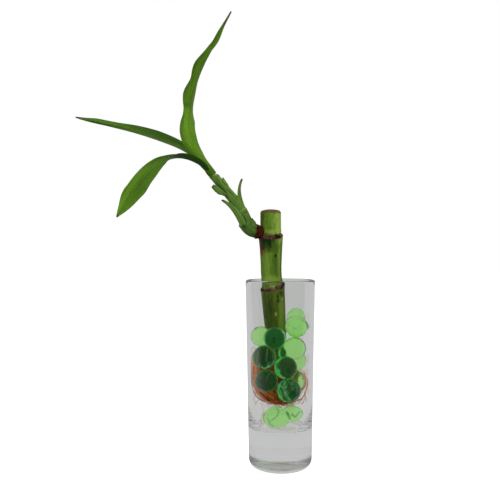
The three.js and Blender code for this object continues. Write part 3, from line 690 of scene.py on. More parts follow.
# Marks on the cane: mask, strength, turn in degrees (-90 faces the viewer), height, half its
# size in degrees and in millimetres, and how softly it ends (0 to 1).
CANE_MARKS = [
    ("dark", 0.9, -125, 126.0, 46, 6.2, 0.3),
    ("dark", 0.8, -112, 128.0, 50, 3.0, 0.4),
    ("dark", 0.45, -75, 125.6, 45, 5.0, 0.6),
    ("rust", 0.95, -160, 122.2, 36, 3.4, 0.3),
    ("dark", 1.0, -66, 118.6, 7, 1.1, 0.2),
    ("dark", 0.4, -92, 134.0, 10, 1.2, 0.6),
    ("dark", 1.0, -70, 95.4, 7, 1.1, 0.3),
    ("dark", 1.0, -68, 93.0, 9, 1.4, 0.2),
    ("rust", 0.4, -70, 96.8, 5, 1.0, 0.5),
    ("dark", 0.7, -45, 97.0, 12, 1.8, 0.6),
    ("rust", 0.5, -50, 97.6, 9, 1.0, 0.7),
    ("pale", 0.9, -84, 85.4, 5, 1.0, 0.4),
    ("pale", 0.9, -44, 94.0, 5, 0.9, 0.4),
    ("rust", 0.6, -36, 103.4, 12, 1.2, 0.5),
    ("dark", 0.9, -26, 103.2, 15, 1.3, 0.4),
    ("rust", 0.35, -20, 78.0, 18, 5.0, 0.8),
    ("pale", 0.6, -88, 100.4, 12, 0.7, 0.6),
    ("pale", 0.35, -104, 100.6, 5, 0.8, 0.6),
    # The stub above the upper joint: painted shade on its left, painted light on its right and over its
    # front just above the joint.
    ("dark", 0.65, -180, 140.0, 55, 14.0, 0.7),
    ("bright", 0.65, -38, 138.0, 38, 12.0, 0.8),
    ("bright", 0.35, -80, 132.2, 50, 1.6, 0.8),
    # The internode between the joints: a darker streak in the middle, brighter ones beside it.
    ("bright", 0.22, -115, 113.0, 16, 11.0, 0.8),
    ("dark", 0.38, -68, 112.0, 17, 14.0, 0.9),
    ("bright", 0.3, -42, 116.0, 6, 12.0, 0.7),
    ("dark", 0.45, -14, 115.0, 20, 16.0, 0.7),
    ("dark", 0.35, -176, 112.0, 22, 12.0, 0.7),
    # Just under the rim of the glass the bark is yellower.
    ("bright", 0.4, -100, 104.4, 60, 3.0, 0.8),
    # The lower internode: painted shade on its left half and painted light on its olive right half.
    ("dark", 0.5, -112, 84.0, 38, 16.0, 0.9),
    ("bright", 0.3, -48, 82.0, 24, 13.0, 0.9),
    ("dark", 0.15, -14, 86.0, 20, 18.0, 0.8),
]


def cane_marks(degrees, x, y, z):
    """What each mask is at a place on the bark."""
    clear = {"dark": 1.0, "rust": 1.0, "pale": 1.0, "bright": 1.0}
    fray = 0.45 * rough(x, y, z * 0.35, 5) + 0.25 * rough(x, y, z * 1.1, 14)
    for mask, strength, at, height, half_turn, half_height, soft in CANE_MARKS:
        off = (degrees - at + 180) % 360 - 180
        spread = math.hypot(off / half_turn, (z - height) / half_height)
        clear[mask] *= 1 - strength * ease(1.0 + 0.5 * soft + fray - spread, 0.0, 0.25 + soft)
    return {mask: 1 - left for mask, left in clear.items()}


def cane_rings(x, y, z):
    """The scars at a place: its height as the rings lean, the ridge there, and the mask."""
    side = 2.2 * max(0.0, x - 0.1) - 1.0
    level = z - sum(lean * side * bell(z, at, 5.0) for at, _, _, _, lean in CANE["scars"])
    scar, ridge = 0.0, 0.0
    for at, wave, thick, seed, _ in CANE["scars"]:
        ring = at + wave * rough(x, y, seed, 1.3) + 0.3 * rough(x, y, seed, 4)
        fringe = thick * (1 + 0.5 * rough(x, y, seed + 2, 5))
        scar = max(scar, ease(fringe - abs(level - ring), 0.0, 0.4))
        ridge += 0.24 * bell(level, ring, 0.5) - 0.2 * bell(level, ring + 1.2, 0.5)
        ridge += 0.16 * rough(x, y, seed + z * 0.6, 6) * bell(level, ring, 1.6)
    return level, ridge, scar


def cane_piece():
    foot, top = CANE["line"][0][2], CANE["line"][-1][2]
    sides = CANE["sides"]
    edge = top - CANE["edge"]
    count = int((edge - foot) / CANE["ring_step"])
    rings = [(lerp(foot, edge, i / count), 0.0) for i in range(count + 1)]
    rings += [(top - drop, inset) for drop, inset in CANE["cut_rings"]]
    points, rows = [], []
    for number, (z, inset) in enumerate(rings):
        middle = cane_middle(z)
        for degrees, x, y in around(sides):
            level, ridge, scar = cane_rings(x, y, z)
            grooves = 0.07 * rough(x, y, z * 0.03, 7) + 0.12 * rough(x, y, z * 0.07, 1.6)
            radius = cane_radius(level) + ridge + grooves - inset
            if number == 0:
                radius -= CANE["foot_inset"]
            drop = ease(z, top - CANE["cut_height"], top) * radius * y * math.tan(CANE["cut_tilt"])
            points.append((middle.x + radius * x, middle.y + radius * y, z - drop))
            rim = ease(z + 0.4 * rough(x, y, 2.2, 4), *(top - below for below in CANE["drying"]))
            rows.append({
                "across": radius * x, "depth": radius * y, "run": z,
                "age": 1 - ease(level, *CANE["old_to_young"]), "scar": scar,
                "cut": 1.0 if number > count else 0.85 * rim, **cane_marks(degrees, x, y, z),
            })
    ends = points[:sides], points[-sides:]
    points += [sum((Vector(p) for p in ring), Vector()) / sides for ring in ends]
    rows += [rows[0], rows[(count + 1) * sides]]
    make_piece("cane_bark", points, skin(len(rings), sides), rows, BARK, "cane", "cane")


# The side shoot

shoot_line = SmoothLine(SHOOT["line"])


def out_of_shoot(u, degrees):
    """The direction out of the shoot, at a turn round it: 0 is right, 90 is towards the viewer."""
    tangent = shoot_line.tangent(u)
    towards = across(Vector((0, -1, 0)), tangent)
    right = tangent.cross(towards)
    turn = math.radians(degrees)
    return right * math.cos(turn) + towards * math.sin(turn)


def beside_shoot(u, degrees, distance):
    return shoot_line.at(u) + out_of_shoot(u, degrees) * distance


def shoot_piece():
    steps, sides = SHOOT["steps"], SHOOT["sides"]
    points, rows = [], []
    for i in range(steps + 1):
        u = i / steps
        for degrees, x, y in around(sides):
            reach, rim_mask, proud = u, 0.0, 0.0
            for at, slant, highest, lip in SHOOT["rims"]:
                lean = slant * math.cos(math.radians(degrees - highest))
                lean += 0.006 * rough(at * 40, x * 2.5, y * 2.5)
                reach -= lean * bell(u, at, 0.06)
                edge = u - lean
                proud += lip * bell(edge, at - 0.008, 0.012)
                rim_mask = max(rim_mask, bell(edge, at - 0.002, 0.005) * (0.6 + rough(x, y, at * 30)))
            radius = straight_along(SHOOT["radius"], reach)
            radius += proud + 0.08 * rough(x, y, u * 9, 2)
            points.append(beside_shoot(u, degrees, radius))
            # The foot of the shoot gets painted shade, and the stem has a few dark patches: both are in
            # the shade mask.
            patch = 0.7 * ease(rough(x, y, u * 7, 1.5), 0.05, 0.5)
            # The stem's own joint shows brown where the right-hand bract starts.
            joint = bell(u, 0.375, 0.012) * ease(x, -0.2, 0.5)
            rows.append({
                "across": radius * x, "depth": radius * y, "run": u * shoot_line.length,
                "bright": 0.0, "shade": clamp(patch + 0.4 * ease(u, 0.46, 0.2)),
                "pale": clamp(0.5 * rim_mask), "dry": 0.6 * joint + 0.8 * bell(u, 0.115, 0.01),
            })
    points += [shoot_line.at(0), shoot_line.at(1)]
    rows += [rows[0], rows[-1]]
    faces = skin(steps + 1, sides)
    make_piece("shoot_stem", points, faces, rows, SHEATH_GREEN, "shoot", "shoot")


def collar_piece():
    """The papery ring at the foot of the shoot, with a ragged lip."""
    steps, sides = COLLAR["steps"], COLLAR["sides"]
    shares = [i / steps for i in range(steps + 1)]
    points, rows = [], []
    for outside, share in [*((True, s) for s in shares), *((False, s) for s in shares[::-1])]:
        for degrees, x, y in around(sides):
            ragged = 0.016 * rough(x, y, 2.0, 2.2) + 0.009 * rough(x, y, 5.0, 7)
            u = share * (COLLAR["to"] - 0.006 + ragged)
            crumple = 0.3 * rough(x, y, share * 2.5, 2) + 0.14 * rough(x, y, share * 5, 7)
            radius = straight_along(SHOOT["radius"], min(u, 0.11)) + COLLAR["off_shoot"]
            if outside:
                crumpled = straight_along(COLLAR["radii"], u) + crumple
                radius = max(crumpled, radius + COLLAR["thinnest"])
            points.append(beside_shoot(u, degrees, radius))
            rows.append({"across": radius * x, "depth": radius * y, "run": share * 7})
    faces = skin(2 * len(shares), sides, loop=True)
    make_piece("collar_scale", points, faces, rows, DRY_SCALE, "dry_scale", "shoot_collar")


# Blades

ROUND_TROUGH = [(0, 1), (1, 1)]
EVEN = [(0, 0.0), (1, 0.0)]
NARROWEST = 0.3


def half_section(half, fold, keel, cells):
    """Half of a blade's cross section, from the rib to the edge: sideways, upwards, the turn."""
    section = [(0.0, 0.0, 0.0)]
    for k in range(1, cells + 1):
        turn = fold * ((k - 0.5) / cells) ** keel
        side, up, _ = section[-1]
        section.append((
            side + half / cells * math.cos(turn),
            up + half / cells * math.sin(turn),
            fold * (k / cells) ** keel,
        ))
    return section


def blade_faces(steps, columns):
    """Faces over a blade's upper side and its lower one, round its edges and over its ends."""
    under = (steps + 1) * columns
    faces = []
    for i in range(steps):
        low, high = i * columns, (i + 1) * columns
        for k in range(columns - 1):
            a, b, c, d = low + k, low + k + 1, high + k + 1, high + k
            faces += [(d, c, b, a), (under + a, under + b, under + c, under + d)]
        for k, order in ((0, 1), (columns - 1, -1)):
            quad = (low + k, under + low + k, under + high + k, high + k)
            faces.append(quad[::-order])
    last = steps * columns
    for k in range(columns - 1):
        a, b = last + k, last + k + 1
        faces += [(k, k + 1, under + k + 1, under + k), (a, under + a, under + b, b)]
    return faces


def blade_mesh(blade):
    """Points, faces and rows of masks of a closed blade whose rib runs along a line.

    The line starts beside the shoot. The blade folds up from the rib on both sides. Where a
    value changes on the way, it is a list of (share of the length, value) pairs. "right" and
    "left" say how much wider the blade is there than its even half width. A colour mask is a
    function of u, the share of the length, and of w, the place across from -1 to 1.
    """
    starts = blade["starts"]
    line = SmoothLine([*(beside_shoot(*start) for start in starts), *blade["line"]])
    facings = [(0, -out_of_shoot(*starts[0][:2])), *blade["facing"]]
    steps, cells = blade["steps"], blade["cells"]
    rib, edge = blade["thickness"]
    upper, lower, rows = [], [], []
    for i in range(steps + 1):
        u = i / steps
        tangent, middle = line.tangent(u), line.at(u)
        facing = Vector([along([(at, v[axis]) for at, v in facings], u) for axis in range(3)])
        up = across(facing, tangent)
        side = tangent.cross(up)
        half, fold = along(blade["half"], u), along(blade["fold"], u)
        keel = along(blade.get("keel", ROUND_TROUGH), u)
        right, left = (
            half_section(max(half + along(blade.get(label, EVEN), u), NARROWEST), fold, keel, cells)
            for label in ("right", "left")
        )
        left = [(-s, v, -t) for s, v, t in left[:0:-1]]
        for k, (s, v, turn) in enumerate([*left, *right]):
            w = k / cells - 1
            normal = up * math.cos(turn) - side * math.sin(turn)
            ripple = rough(u * line.length * 0.09, 3.0 * math.copysign(1, w), blade["seed"])
            wave = blade["wave"] * w * w * ripple * ease(half, 0.4, 3.0)
            place = middle + side * s + up * v + normal * wave
            thick = lerp(rib, edge, math.sqrt(abs(w))) / 2 * (1 - 0.75 * ease(abs(w), 0.9, 1.0))
            groove = 0.1 * bell(s, 0, 0.4)
            upper.append(place + normal * (thick - groove))
            lower.append(place - normal * (thick + 1.6 * groove))
            row = {"across": s, "depth": 0.0, "run": u * line.length}
            for label in ("bright", "shade", "pale", "dry"):
                row[label] = clamp(blade[label](u, w)) if label in blade else 0.0
            rows.append(row)
    points = [*upper, *lower]
    return points, outward(points, blade_faces(steps, 2 * cells + 1)), rows + rows


# Each bract starts at a share of the shoot's length, a turn round it and a distance from it.
BRACTS = [
    {
        "starts": [(0.12, 40, 3.4)],
        "line": [(-14.4, 3.3, 136.9), (-16.1, 3.4, 139.9)],
        "facing": [(1, (-0.6, 0.6, -0.5))],
        "half": [(0, 3.2), (0.5, 2.3), (0.85, 1.0), (1, 0.35)],
        "fold": [(0, 0.8), (1, 0.4)],
        # Painted shade over the small bract at the foot of the shoot.
        "shade": lambda u, w: 0.45,
    },
    {
        "starts": [(0.34, 35, 3.1)],
        "line": [
            (-20.9, 2.5, 146.6), (-22.3, 2.1, 151.1), (-22.8, 1.8, 155.5), (-22.5, 1.7, 158.9),
            (-21.5, 1.7, 162.2),
        ],
        "facing": [(0.4, (-0.7, 0.7, -0.2)), (1, (-0.8, 0.6, -0.2))],
        "half": [(0, 3.2), (0.3, 2.6), (0.6, 1.7), (0.85, 1.0), (0.96, 0.8), (1, 0.45)],
        "fold": [(0, 0.9), (1, 0.8)],
    },
    {
        "starts": [(0.24, 140, 3.6)],
        "line": [(-23.9, 1.0, 140.4), (-26.5, 0.4, 144.4), (-29.3, -0.1, 147.4), (-33.0, -0.6, 150.0)],
        "facing": [(0.6, (0.6, 0.7, 0.3)), (1, (0.45, 0.7, 0.5))],
        "half": [(0, 3.4), (0.3, 3.0), (0.6, 2.1), (0.85, 1.2), (0.96, 0.8), (1, 0.45)],
        "fold": [(0, 0.9), (1, 0.7)],
    },
    {
        "starts": [(0.65, 150, 2.2)],
        "line": [(-32.8, 0.2, 153.3), (-35.3, -0.2, 155.2), (-38.3, -0.4, 158.0)],
        "facing": [(0.6, (0.45, 0.8, 0.4)), (1, (0.45, 0.85, 0.4))],
        "half": [(0, 1.5), (0.3, 2.0), (0.5, 2.2), (0.85, 1.7), (0.98, 1.3), (1, 1.1)],
        "fold": [(0, 0.9), (1, 0.4)],
    },
    {
        "starts": [(0.72, 25, 2.75)],
        "line": [(-31.0, 1.3, 160.3), (-32.6, 1.3, 162.7)],
        "facing": [(1, (-0.8, 0.5, -0.3))],
        "half": [(0, 1.3), (0.6, 1.1), (0.9, 0.7), (1, 0.35)],
        "fold": [(0, 0.6), (1, 0.4)],
    },
]
BRACT = {
    "steps": 60, "cells": 8, "thickness": (0.9, 0.3), "wave": 0.15,
    "dry": lambda u, w: ease(u, 0.82, 0.98),
    "pale": lambda u, w: 0.25 * ease(abs(w), 0.75, 1.0),
}


def bracts_piece():
    points, faces, rows = [], [], []
    for number, bract in enumerate(BRACTS):
        more, quads, values = blade_mesh({**BRACT, **bract, "seed": number})
        faces += [tuple(len(points) + corner for corner in quad) for quad in quads]
        points += more
        rows += values
    make_piece("shoot_bracts", points, faces, rows, SHEATH_GREEN, "shoot", "shoot")


# What the leaves share, and then each leaf. Its seat is the turn round the shoot where it starts.
LEAF = {"steps": 220, "cells": 12, "thickness": (0.8, 0.4), "wave": 0.5}
LEAVES = {
    "hanging": {
        "seat": 168,
        "line": [
            (-44.2, -1.8, 169.0), (-50.4, -5.2, 172.1), (-56.8, -8.6, 172.9),
            (-63.2, -12.2, 170.8), (-69.4, -15.8, 166.2), (-74.6, -18.8, 159.9),
            (-78.8, -21.2, 153.0), (-82.5, -23.0, 146.3), (-87.3, -24.6, 139.2),
        ],
        "facing": [
            (0.2, (0.2, 0.1, 0.95)), (0.36, (-0.1, -0.35, 0.93)), (0.5, (-0.2, -0.75, 0.6)),
            (0.7, (-0.2, -0.95, 0.25)), (1, (-0.2, -0.95, 0.15)),
        ],
        "half": [
            (0, 1.75), (0.1, 2.1), (0.2, 2.4), (0.33, 2.6), (0.42, 3.5), (0.5, 4.4), (0.6, 5.2),
            (0.7, 5.3), (0.78, 5.0), (0.86, 3.9), (0.94, 2.1), (1, 0.35),
        ],
        "fold": [(0, 0.9), (0.2, 1.15), (0.36, 1.0), (0.5, 0.6), (0.7, 0.35), (1, 0.4)],
        "keel": [(0, 1), (0.2, 0.7), (1, 0.6)],
        "right": [
            (0, 0), (0.2, -0.4), (0.25, -0.1), (0.3, 0.3), (0.4, 0), (0.46, 0), (0.53, -0.4),
            (0.6, -0.6), (0.67, -0.6), (0.75, -0.2), (0.81, 0.6), (0.87, 0.7), (0.93, 0.3), (1, 0),
        ],
        "left": [
            (0, -0.4), (0.05, 0.1), (0.1, 1.0), (0.2, 1.2), (0.28, 1.5), (0.36, 2.3), (0.41, 2.9),
            (0.46, 2.8), (0.53, 2.2), (0.6, 1.8), (0.67, 1.5), (0.75, 1.7), (0.83, 1.2), (0.9, 0.6),
            (1, 0),
        ],
        "dry": lambda u, w: ease(u, 0.975, 0.995),
        # Painted shade on the dark neck and in a strip along the blade, painted light on the body
        # towards the tip.
        "shade": lambda u, w: 0.8 * ease(u, 0.56, 0.3) + 0.25 * bell(w, -0.25, 0.3) * ease(u, 0.4, 0.6),
        "bright": lambda u, w: (
            0.22 * ease(w, 0.0, 0.7) * ease(u, 0.5, 0.7) + 0.15 * ease(u, 0.75, 0.95)
        ),
    },
    "upright": {
        "seat": 45,
        "line": [
            (-43.7, -1.2, 173.3), (-48.2, -1.3, 180.3), (-51.5, 0.4, 188.4), (-52.6, 3.9, 197.4),
            (-52.1, 7.6, 206.4), (-50.6, 9.8, 215.2), (-48.0, 10.5, 223.8), (-44.8, 10.2, 230.8),
            (-40.3, 9.2, 237.6), (-35.6, 8.0, 244.3), (-32.6, 7.2, 250.2), (-27.9, 6.0, 258.7),
        ],
        "facing": [
            (0.15, (-0.55, 0.8, -0.2)), (0.3, (-0.3, 0.95, 0)), (0.45, (-0.7, 0.7, 0)),
            (0.7, (-0.7, 0.7, 0.1)), (1, (-0.5, 0.85, 0.1)),
        ],
        "half": [
            (0, 1.75), (0.1, 2.6), (0.17, 4.0), (0.28, 4.6), (0.34, 4.1), (0.42, 3.3), (0.5, 3.9),
            (0.57, 3.3), (0.64, 3.3), (0.74, 2.0), (0.82, 1.7), (0.92, 0.6), (1, 0.35),
        ],
        "fold": [(0, 0.9), (0.15, 0.9), (0.3, 0.5), (0.5, 0.7), (1, 0.6)],
        "keel": [(0, 1), (0.2, 0.6), (1, 0.6)],
        "right": [
            (0, 1.6), (0.07, 1.6), (0.12, 0.9), (0.17, 0.6), (0.22, 1.0), (0.27, 0.7), (0.33, 0),
            (0.37, -0.8), (0.41, -0.4), (0.45, 0.5), (0.5, 0.7), (0.55, 0.1), (0.59, -0.5),
            (0.63, 0.2), (0.67, 0.9), (0.72, 0.6), (0.78, 0.2), (0.81, -0.1), (0.86, 0.5),
            (0.9, 0.5), (1, 0),
        ],
        "left": [
            (0, 0.6), (0.08, 1.2), (0.15, 1.6), (0.22, 0.5), (0.29, 0), (0.35, 1.4), (0.4, 2.0),
            (0.46, 2.1), (0.54, 2.1), (0.6, 1.0), (0.66, 0.3), (0.74, 0.4), (0.775, 0.1),
            (0.81, 0.5), (0.86, 0.4), (0.92, 0.1), (1, 0),
        ],
        "dry": lambda u, w: ease(u, 0.9, 0.95),
        "pale": lambda u, w: 0.3 * ease(-w, 0.5, 0.95) * bell(u, 0.42, 0.06),
        # Painted shade along one side and in the fold, painted light on the lower blade and along the
        # other side.
        "shade": lambda u, w: (
            0.45 * ease(w, 0.2, 0.8) * ease(u, 0.44, 0.52) * ease(u, 0.8, 0.72)
            + 0.4 * bell(u, 0.43, 0.014) * ease(w, -0.4, 0.4)
            + 0.3 * ease(w, 0.4, 0.9) * ease(u, 0.42, 0.36)
            + 0.3 * ease(w, 0.2, 0.7) * ease(u, 0.76, 0.8)
        ),
        "bright": lambda u, w: (
            0.26 * ease(u, 0.48, 0.38) * ease(u, 0.0, 0.1) * (1 - 0.4 * ease(w, 0.3, 0.9))
            + 0.12 * ease(u, 0.42, 0.5)
            + 0.4 * ease(-w, 0.4, 0.9) * ease(u, 0.42, 0.48) * ease(u, 0.66, 0.56)
            + 0.3 * ease(-w, -0.1, 0.5) * ease(u, 0.72, 0.8)
        ),
    },
    "reaching": {
        "seat": 285,
        "line": [
            (-45.0, 6.4, 173.2), (-51.8, 9.2, 177.3), (-59.0, 11.8, 181.5), (-70.0, 15.2, 186.2),
            (-84.7, 18.6, 191.4), (-99.4, 20.8, 195.5), (-114.0, 22.0, 199.1), (-121.3, 22.0, 201.3),
        ],
        "facing": [
            (0.1, (0.1, -0.8, 0.4)), (0.22, (0.15, -0.5, 0.85)), (0.7, (0.1, -0.5, 0.85)),
            (1, (0.1, -0.6, 0.8)),
        ],
        "half": [
            (0, 1.75), (0.1, 2.4), (0.2, 3.9), (0.3, 4.8), (0.45, 5.5), (0.56, 5.1), (0.72, 3.7),
            (0.8, 3.2), (0.88, 2.9), (0.94, 1.8), (1, 0.35),
        ],
        "fold": [(0, 0.9), (0.15, 1.15), (0.45, 1.0), (0.8, 0.9), (1, 0.5)],
        "keel": [(0, 1), (0.15, 0.5), (1, 0.5)],
        "right": [
            (0, 0), (0.2, -0.6), (0.32, 0.0), (0.5, 0.4), (0.68, 0.2), (0.76, 0.2), (0.85, 0.2),
            (1, 0),
        ],
        "left": [
            (0, 0), (0.7, 0), (0.745, 0.5), (0.77, 1.0), (0.8, 0.2), (0.83, 0), (0.875, 0.9),
            (0.92, 0.2), (1, 0),
        ],
        "dry": lambda u, w: ease(u, 0.95, 0.985),
        # Painted shade on the upper half of the blade and on its lower edge near the tip, painted light
        # on its lower half.
        "shade": lambda u, w: (
            0.5 * ease(w, -0.3, 0.5) * ease(u, 0.76, 0.5) * ease(u, 0.05, 0.15)
            + 0.4 * ease(-w, 0.6, 0.95) * ease(u, 0.7, 0.78)
        ),
        "bright": lambda u, w: 0.3 * ease(-w, -0.2, 0.4) * ease(u, 0.1, 0.3) * ease(u, 0.8, 0.62),
    },
}


def leaf_pieces():
    for number, (name, leaf) in enumerate(LEAVES.items()):
        starts = [(u, leaf["seat"], LEAF_SEAT_DISTANCE) for u in LEAF_SEATS]
        parts = blade_mesh({**LEAF, **leaf, "starts": starts, "seed": number * 3.7})
        make_piece(name + "_leaf_blade", *parts, LEAF_GREEN, "leaf", "leaf_" + name)


# Node trees that grow what repeats

def grown(name, points, edges, rows, tree, values):
    """What a node tree makes of a seed of points and edges, as a plain mesh."""
    seed_mesh = bpy.data.meshes.new(name + "_seed")
    seed_mesh.from_pydata([tuple(Vector(p) * MM) for p in points], edges, [])
    add_masks(seed_mesh, rows)
    seed = linked(name + "_seed", seed_mesh)
    modifier = seed.modifiers.new("Grow", "NODES")
    modifier.node_group = tree
    for item in tree.interface.items_tree:
        if item.item_type == "SOCKET" and item.in_out == "INPUT" and item.name in values:
            modifier[item.identifier] = values[item.name]
    graph = bpy.context.evaluated_depsgraph_get()
    mesh = bpy.data.meshes.new_from_object(seed.evaluated_get(graph))
    mesh.name = name
    seed.modifiers.remove(modifier)
    bpy.data.objects.remove(seed)
    return mesh


def growing_group(name, inputs):
    inputs = {"Geometry": "NodeSocketGeometry", **inputs, "Finish": "NodeSocketMaterial"}
    return new_group(name, inputs, ["Geometry"], "GeometryNodeTree")


def end_growth(tree, geometry, source, sink):
    """Ends a node tree in plain smooth faces with the finish that it is given."""
    smooth = tree.add("GeometryNodeSetShadeSmooth", {0: geometry})[0]
    real = tree.add("GeometryNodeRealizeInstances", {0: smooth})[0]
    values = {"Geometry": real, "Material": source["Finish"]}
    tree.put(sink[0], tree.add("GeometryNodeSetMaterial", values)[0])


def named(tree, label, kind="FLOAT"):
    return tree.add("GeometryNodeInputNamedAttribute", {"Name": label}, data_type=kind)["Attribute"]


def uneven(tree, source, normal, radius):
    """How far the skin of a ball swells or sinks, in slow waves that differ from ball to ball."""
    spread = tree.maths("DIVIDE", 1.0, source["Wave Size"])
    place = tree.vectors("SCALE", {0: normal, "Scale": spread})
    step = tree.triple(tree.maths("MULTIPLY", named(tree, "number"), 7.3))
    place = tree.vectors("ADD", {0: place, 1: step})
    swell = tree.maths("SUBTRACT", tree.noise(place, 1.0, 1.0), 0.5)
    swell = tree.maths("MULTIPLY", tree.maths("MULTIPLY", swell, source["Unevenness"]), 2.0)
    return tree.maths("MULTIPLY", swell, radius)


def cornered(tree, normal, radius):
    """How far the skin of a ball is drawn out into a corner.

    The corner is a cone that leaves the ball smoothly, with a slightly rounded tip. The length
    of the seed's corner is the tip's distance in radii, or 1 where there is no corner.
    """
    corner = named(tree, "corner", "FLOAT_VECTOR")
    length = tree.vectors("LENGTH", {0: corner}, "Value")
    way = tree.vectors("NORMALIZE", {0: corner})
    facing = tree.vectors("DOT_PRODUCT", {0: normal, 1: way}, "Value")
    turn = tree.maths("ARCCOSINE", tree.maths("MINIMUM", facing, 1.0))
    turn = tree.maths("SQRT", tree.maths("MULTIPLY_ADD", turn, turn, 0.01))
    opening = tree.maths("ARCCOSINE", tree.maths("DIVIDE", 1.0, length))
    inside = tree.maths("MAXIMUM", tree.maths("SUBTRACT", opening, turn), 0.0)
    pull = tree.maths("SUBTRACT", tree.maths("DIVIDE", 1.0, tree.maths("COSINE", inside)), 1.0)
    return tree.maths("MULTIPLY", pull, radius)


def bead_tree():
    """A ball on each seed point, a little uneven, with a corner where the seed asks for one."""
    group, tree, source, sink = growing_group(
        "Bead pile", {"Detail": 5, "Unevenness": 0.02, "Wave Size": 0.7},
    )
    values = {"Radius": 1.0, "Subdivisions": source["Detail"]}
    ball = tree.add("GeometryNodeMeshIcoSphere", values)[0]
    stretch = named(tree, "stretch", "FLOAT_VECTOR")
    values = {"Points": source["Geometry"], "Instance": ball, "Scale": stretch}
    placed = tree.add("GeometryNodeInstanceOnPoints", values)[0]
    real = tree.add("GeometryNodeRealizeInstances", {0: placed})[0]
    normal = tree.add("GeometryNodeInputNormal")[0]
    radius = named(tree, "radius")
    moves = uneven(tree, source, normal, radius), cornered(tree, normal, radius)
    swollen, drawn = (tree.vectors("SCALE", {0: normal, "Scale": move}) for move in moves)
    offset = tree.vectors("ADD", {0: swollen, 1: drawn})
    shaped = tree.add("GeometryNodeSetPosition", {"Geometry": real, "Offset": offset})[0]
    end_growth(tree, shaped, source, sink)
    return group


def tube_tree():
    """A tapering, slightly knotty tube along each chain of edges."""
    group, tree, source, sink = growing_group(
        "Root tubes", {"Sides": 7, "Knots": 0.3, "Knot Spacing": 0.002},
    )
    curve = tree.add("GeometryNodeMeshToCurve", {0: source["Geometry"]})[0]
    values = {"Resolution": source["Sides"], "Radius": 1.0}
    profile = tree.add("GeometryNodeCurvePrimitiveCircle", values)[0]
    position = tree.add("GeometryNodeInputPosition")[0]
    fine = tree.noise(position, tree.maths("DIVIDE", 1.0, source["Knot Spacing"]), 2.0)
    knot = tree.maths("MULTIPLY", tree.maths("SUBTRACT", fine, 0.5), source["Knots"])
    scale = tree.maths("MULTIPLY", named(tree, "thickness"), tree.maths("ADD", knot, 1.0))
    values = {"Curve": curve, "Profile Curve": profile, "Scale": scale, "Fill Caps": True}
    end_growth(tree, tree.add("GeometryNodeCurveToMesh", values)[0], source, sink)
    return group


# The water beads

NO_CORNER = (1.0, 0.0, 0.0)
# How many radii from its middle a place may be to be on a bead, or to have one of its creases.
ON_BEAD, CREASED = 1.06, 1.25


def bead_middle(number):
    low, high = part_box(f"water_bead_{number:02d}")
    return (low + high) / 2 / MM


beads = [(bead_middle(number), radius) for number, radius in enumerate(BEAD_RADII, 1)]


def off_line(x, z, a, b):
    """How far a place is from the line between two points, all as (x, z)."""
    way = (b[0] - a[0], b[1] - a[1])
    share = ((x - a[0]) * way[0] + (z - a[1]) * way[1]) / (way[0] ** 2 + way[1] ** 2)
    share = clamp(share)
    return math.hypot(x - a[0] - share * way[0], z - a[1] - share * way[1])


def bead_seeds():
    """Where a ball of gel grows, and its row: the beads, their painted dark eyes and the loose bit."""
    seeds = []
    for number, (middle, radius) in enumerate(beads, 1):
        shift, stretch = BEAD_SQUEEZE.get(number, ((0, 0, 0), (1, 1, 1)))
        middle = middle + Vector(shift)
        tip = BEAD_TIPS.get(number)
        corner = tuple((Vector(tip) - middle) / radius) if tip else NO_CORNER
        half = [share * radius for share in stretch]
        seeds.append((middle, radius, half, corner, float(number in SHADE_TINTED_BEADS), 0.0))
    for number, off, radius in BEAD_DARK_EYES:
        middle = beads[number - 1][0] + Vector(off)
        seeds.append((middle, radius, [radius] * 3, NO_CORNER, 1.0, 1.0))
    bit = GEL_BIT
    seeds.append((Vector(bit["middle"]), bit["half"][0], bit["half"], NO_CORNER, bit["dye"], 0.0))
    rows = []
    for number, (_, radius, half, corner, dye, kernel) in enumerate(seeds):
        rows.append({
            "radius": radius * MM, "stretch": tuple(size * MM for size in half), "corner": corner,
            "number": float(number), "dye": dye, "kernel": kernel,
        })
    return [seed[0] for seed in seeds], rows


def bead_marks(place):
    """The masks at a place on the gel: how creased, how clear, and how much of a tip it is."""
    crease, tip, clear = 0.0, 0.0, 0.0
    for number, half, points in BEAD_CREASES:
        middle, radius = beads[number - 1]
        if place.y < middle.y and (place - middle).length < radius * CREASED:
            off = min(off_line(place.x, place.z, a, b) for a, b in zip(points, points[1:]))
            crease = max(crease, ease(off, half * 1.5, half * 0.6))
    for number, point in BEAD_TIPS.items():
        middle, radius = beads[number - 1]
        if (place - Vector(point)).length < radius:
            tip = ease((place - middle).length / radius, ON_BEAD, 1.2)
    # Where one light bead stands behind another, the two dyes must not add up.
    spot = BEAD_CLEARED
    middle, radius = beads[spot["number"] - 1]
    if (place - middle).length < radius * ON_BEAD:
        off = math.hypot(place.x - spot["middle"][0], place.z - spot["middle"][1])
        clear = ease(off, spot["radius"] + 0.4, spot["radius"] - 0.6)
    return {"clear": clear, "tip": tip, "crease": crease}


def beads_piece():
    places, rows = bead_seeds()
    values = {"Detail": 5, "Unevenness": 0.022, "Wave Size": 0.8, "Finish": GEL}
    mesh = grown("water_beads", places, [], rows, bead_tree(), values)
    add_masks(mesh, [bead_marks(Vector(vertex.co) / MM) for vertex in mesh.vertices])
    nodes = [f"water_bead_{number:02d}" for number in range(1, len(beads) + 1)]
    finish_piece("water_beads", mesh, GEL, "water_bead", *nodes)


# The roots

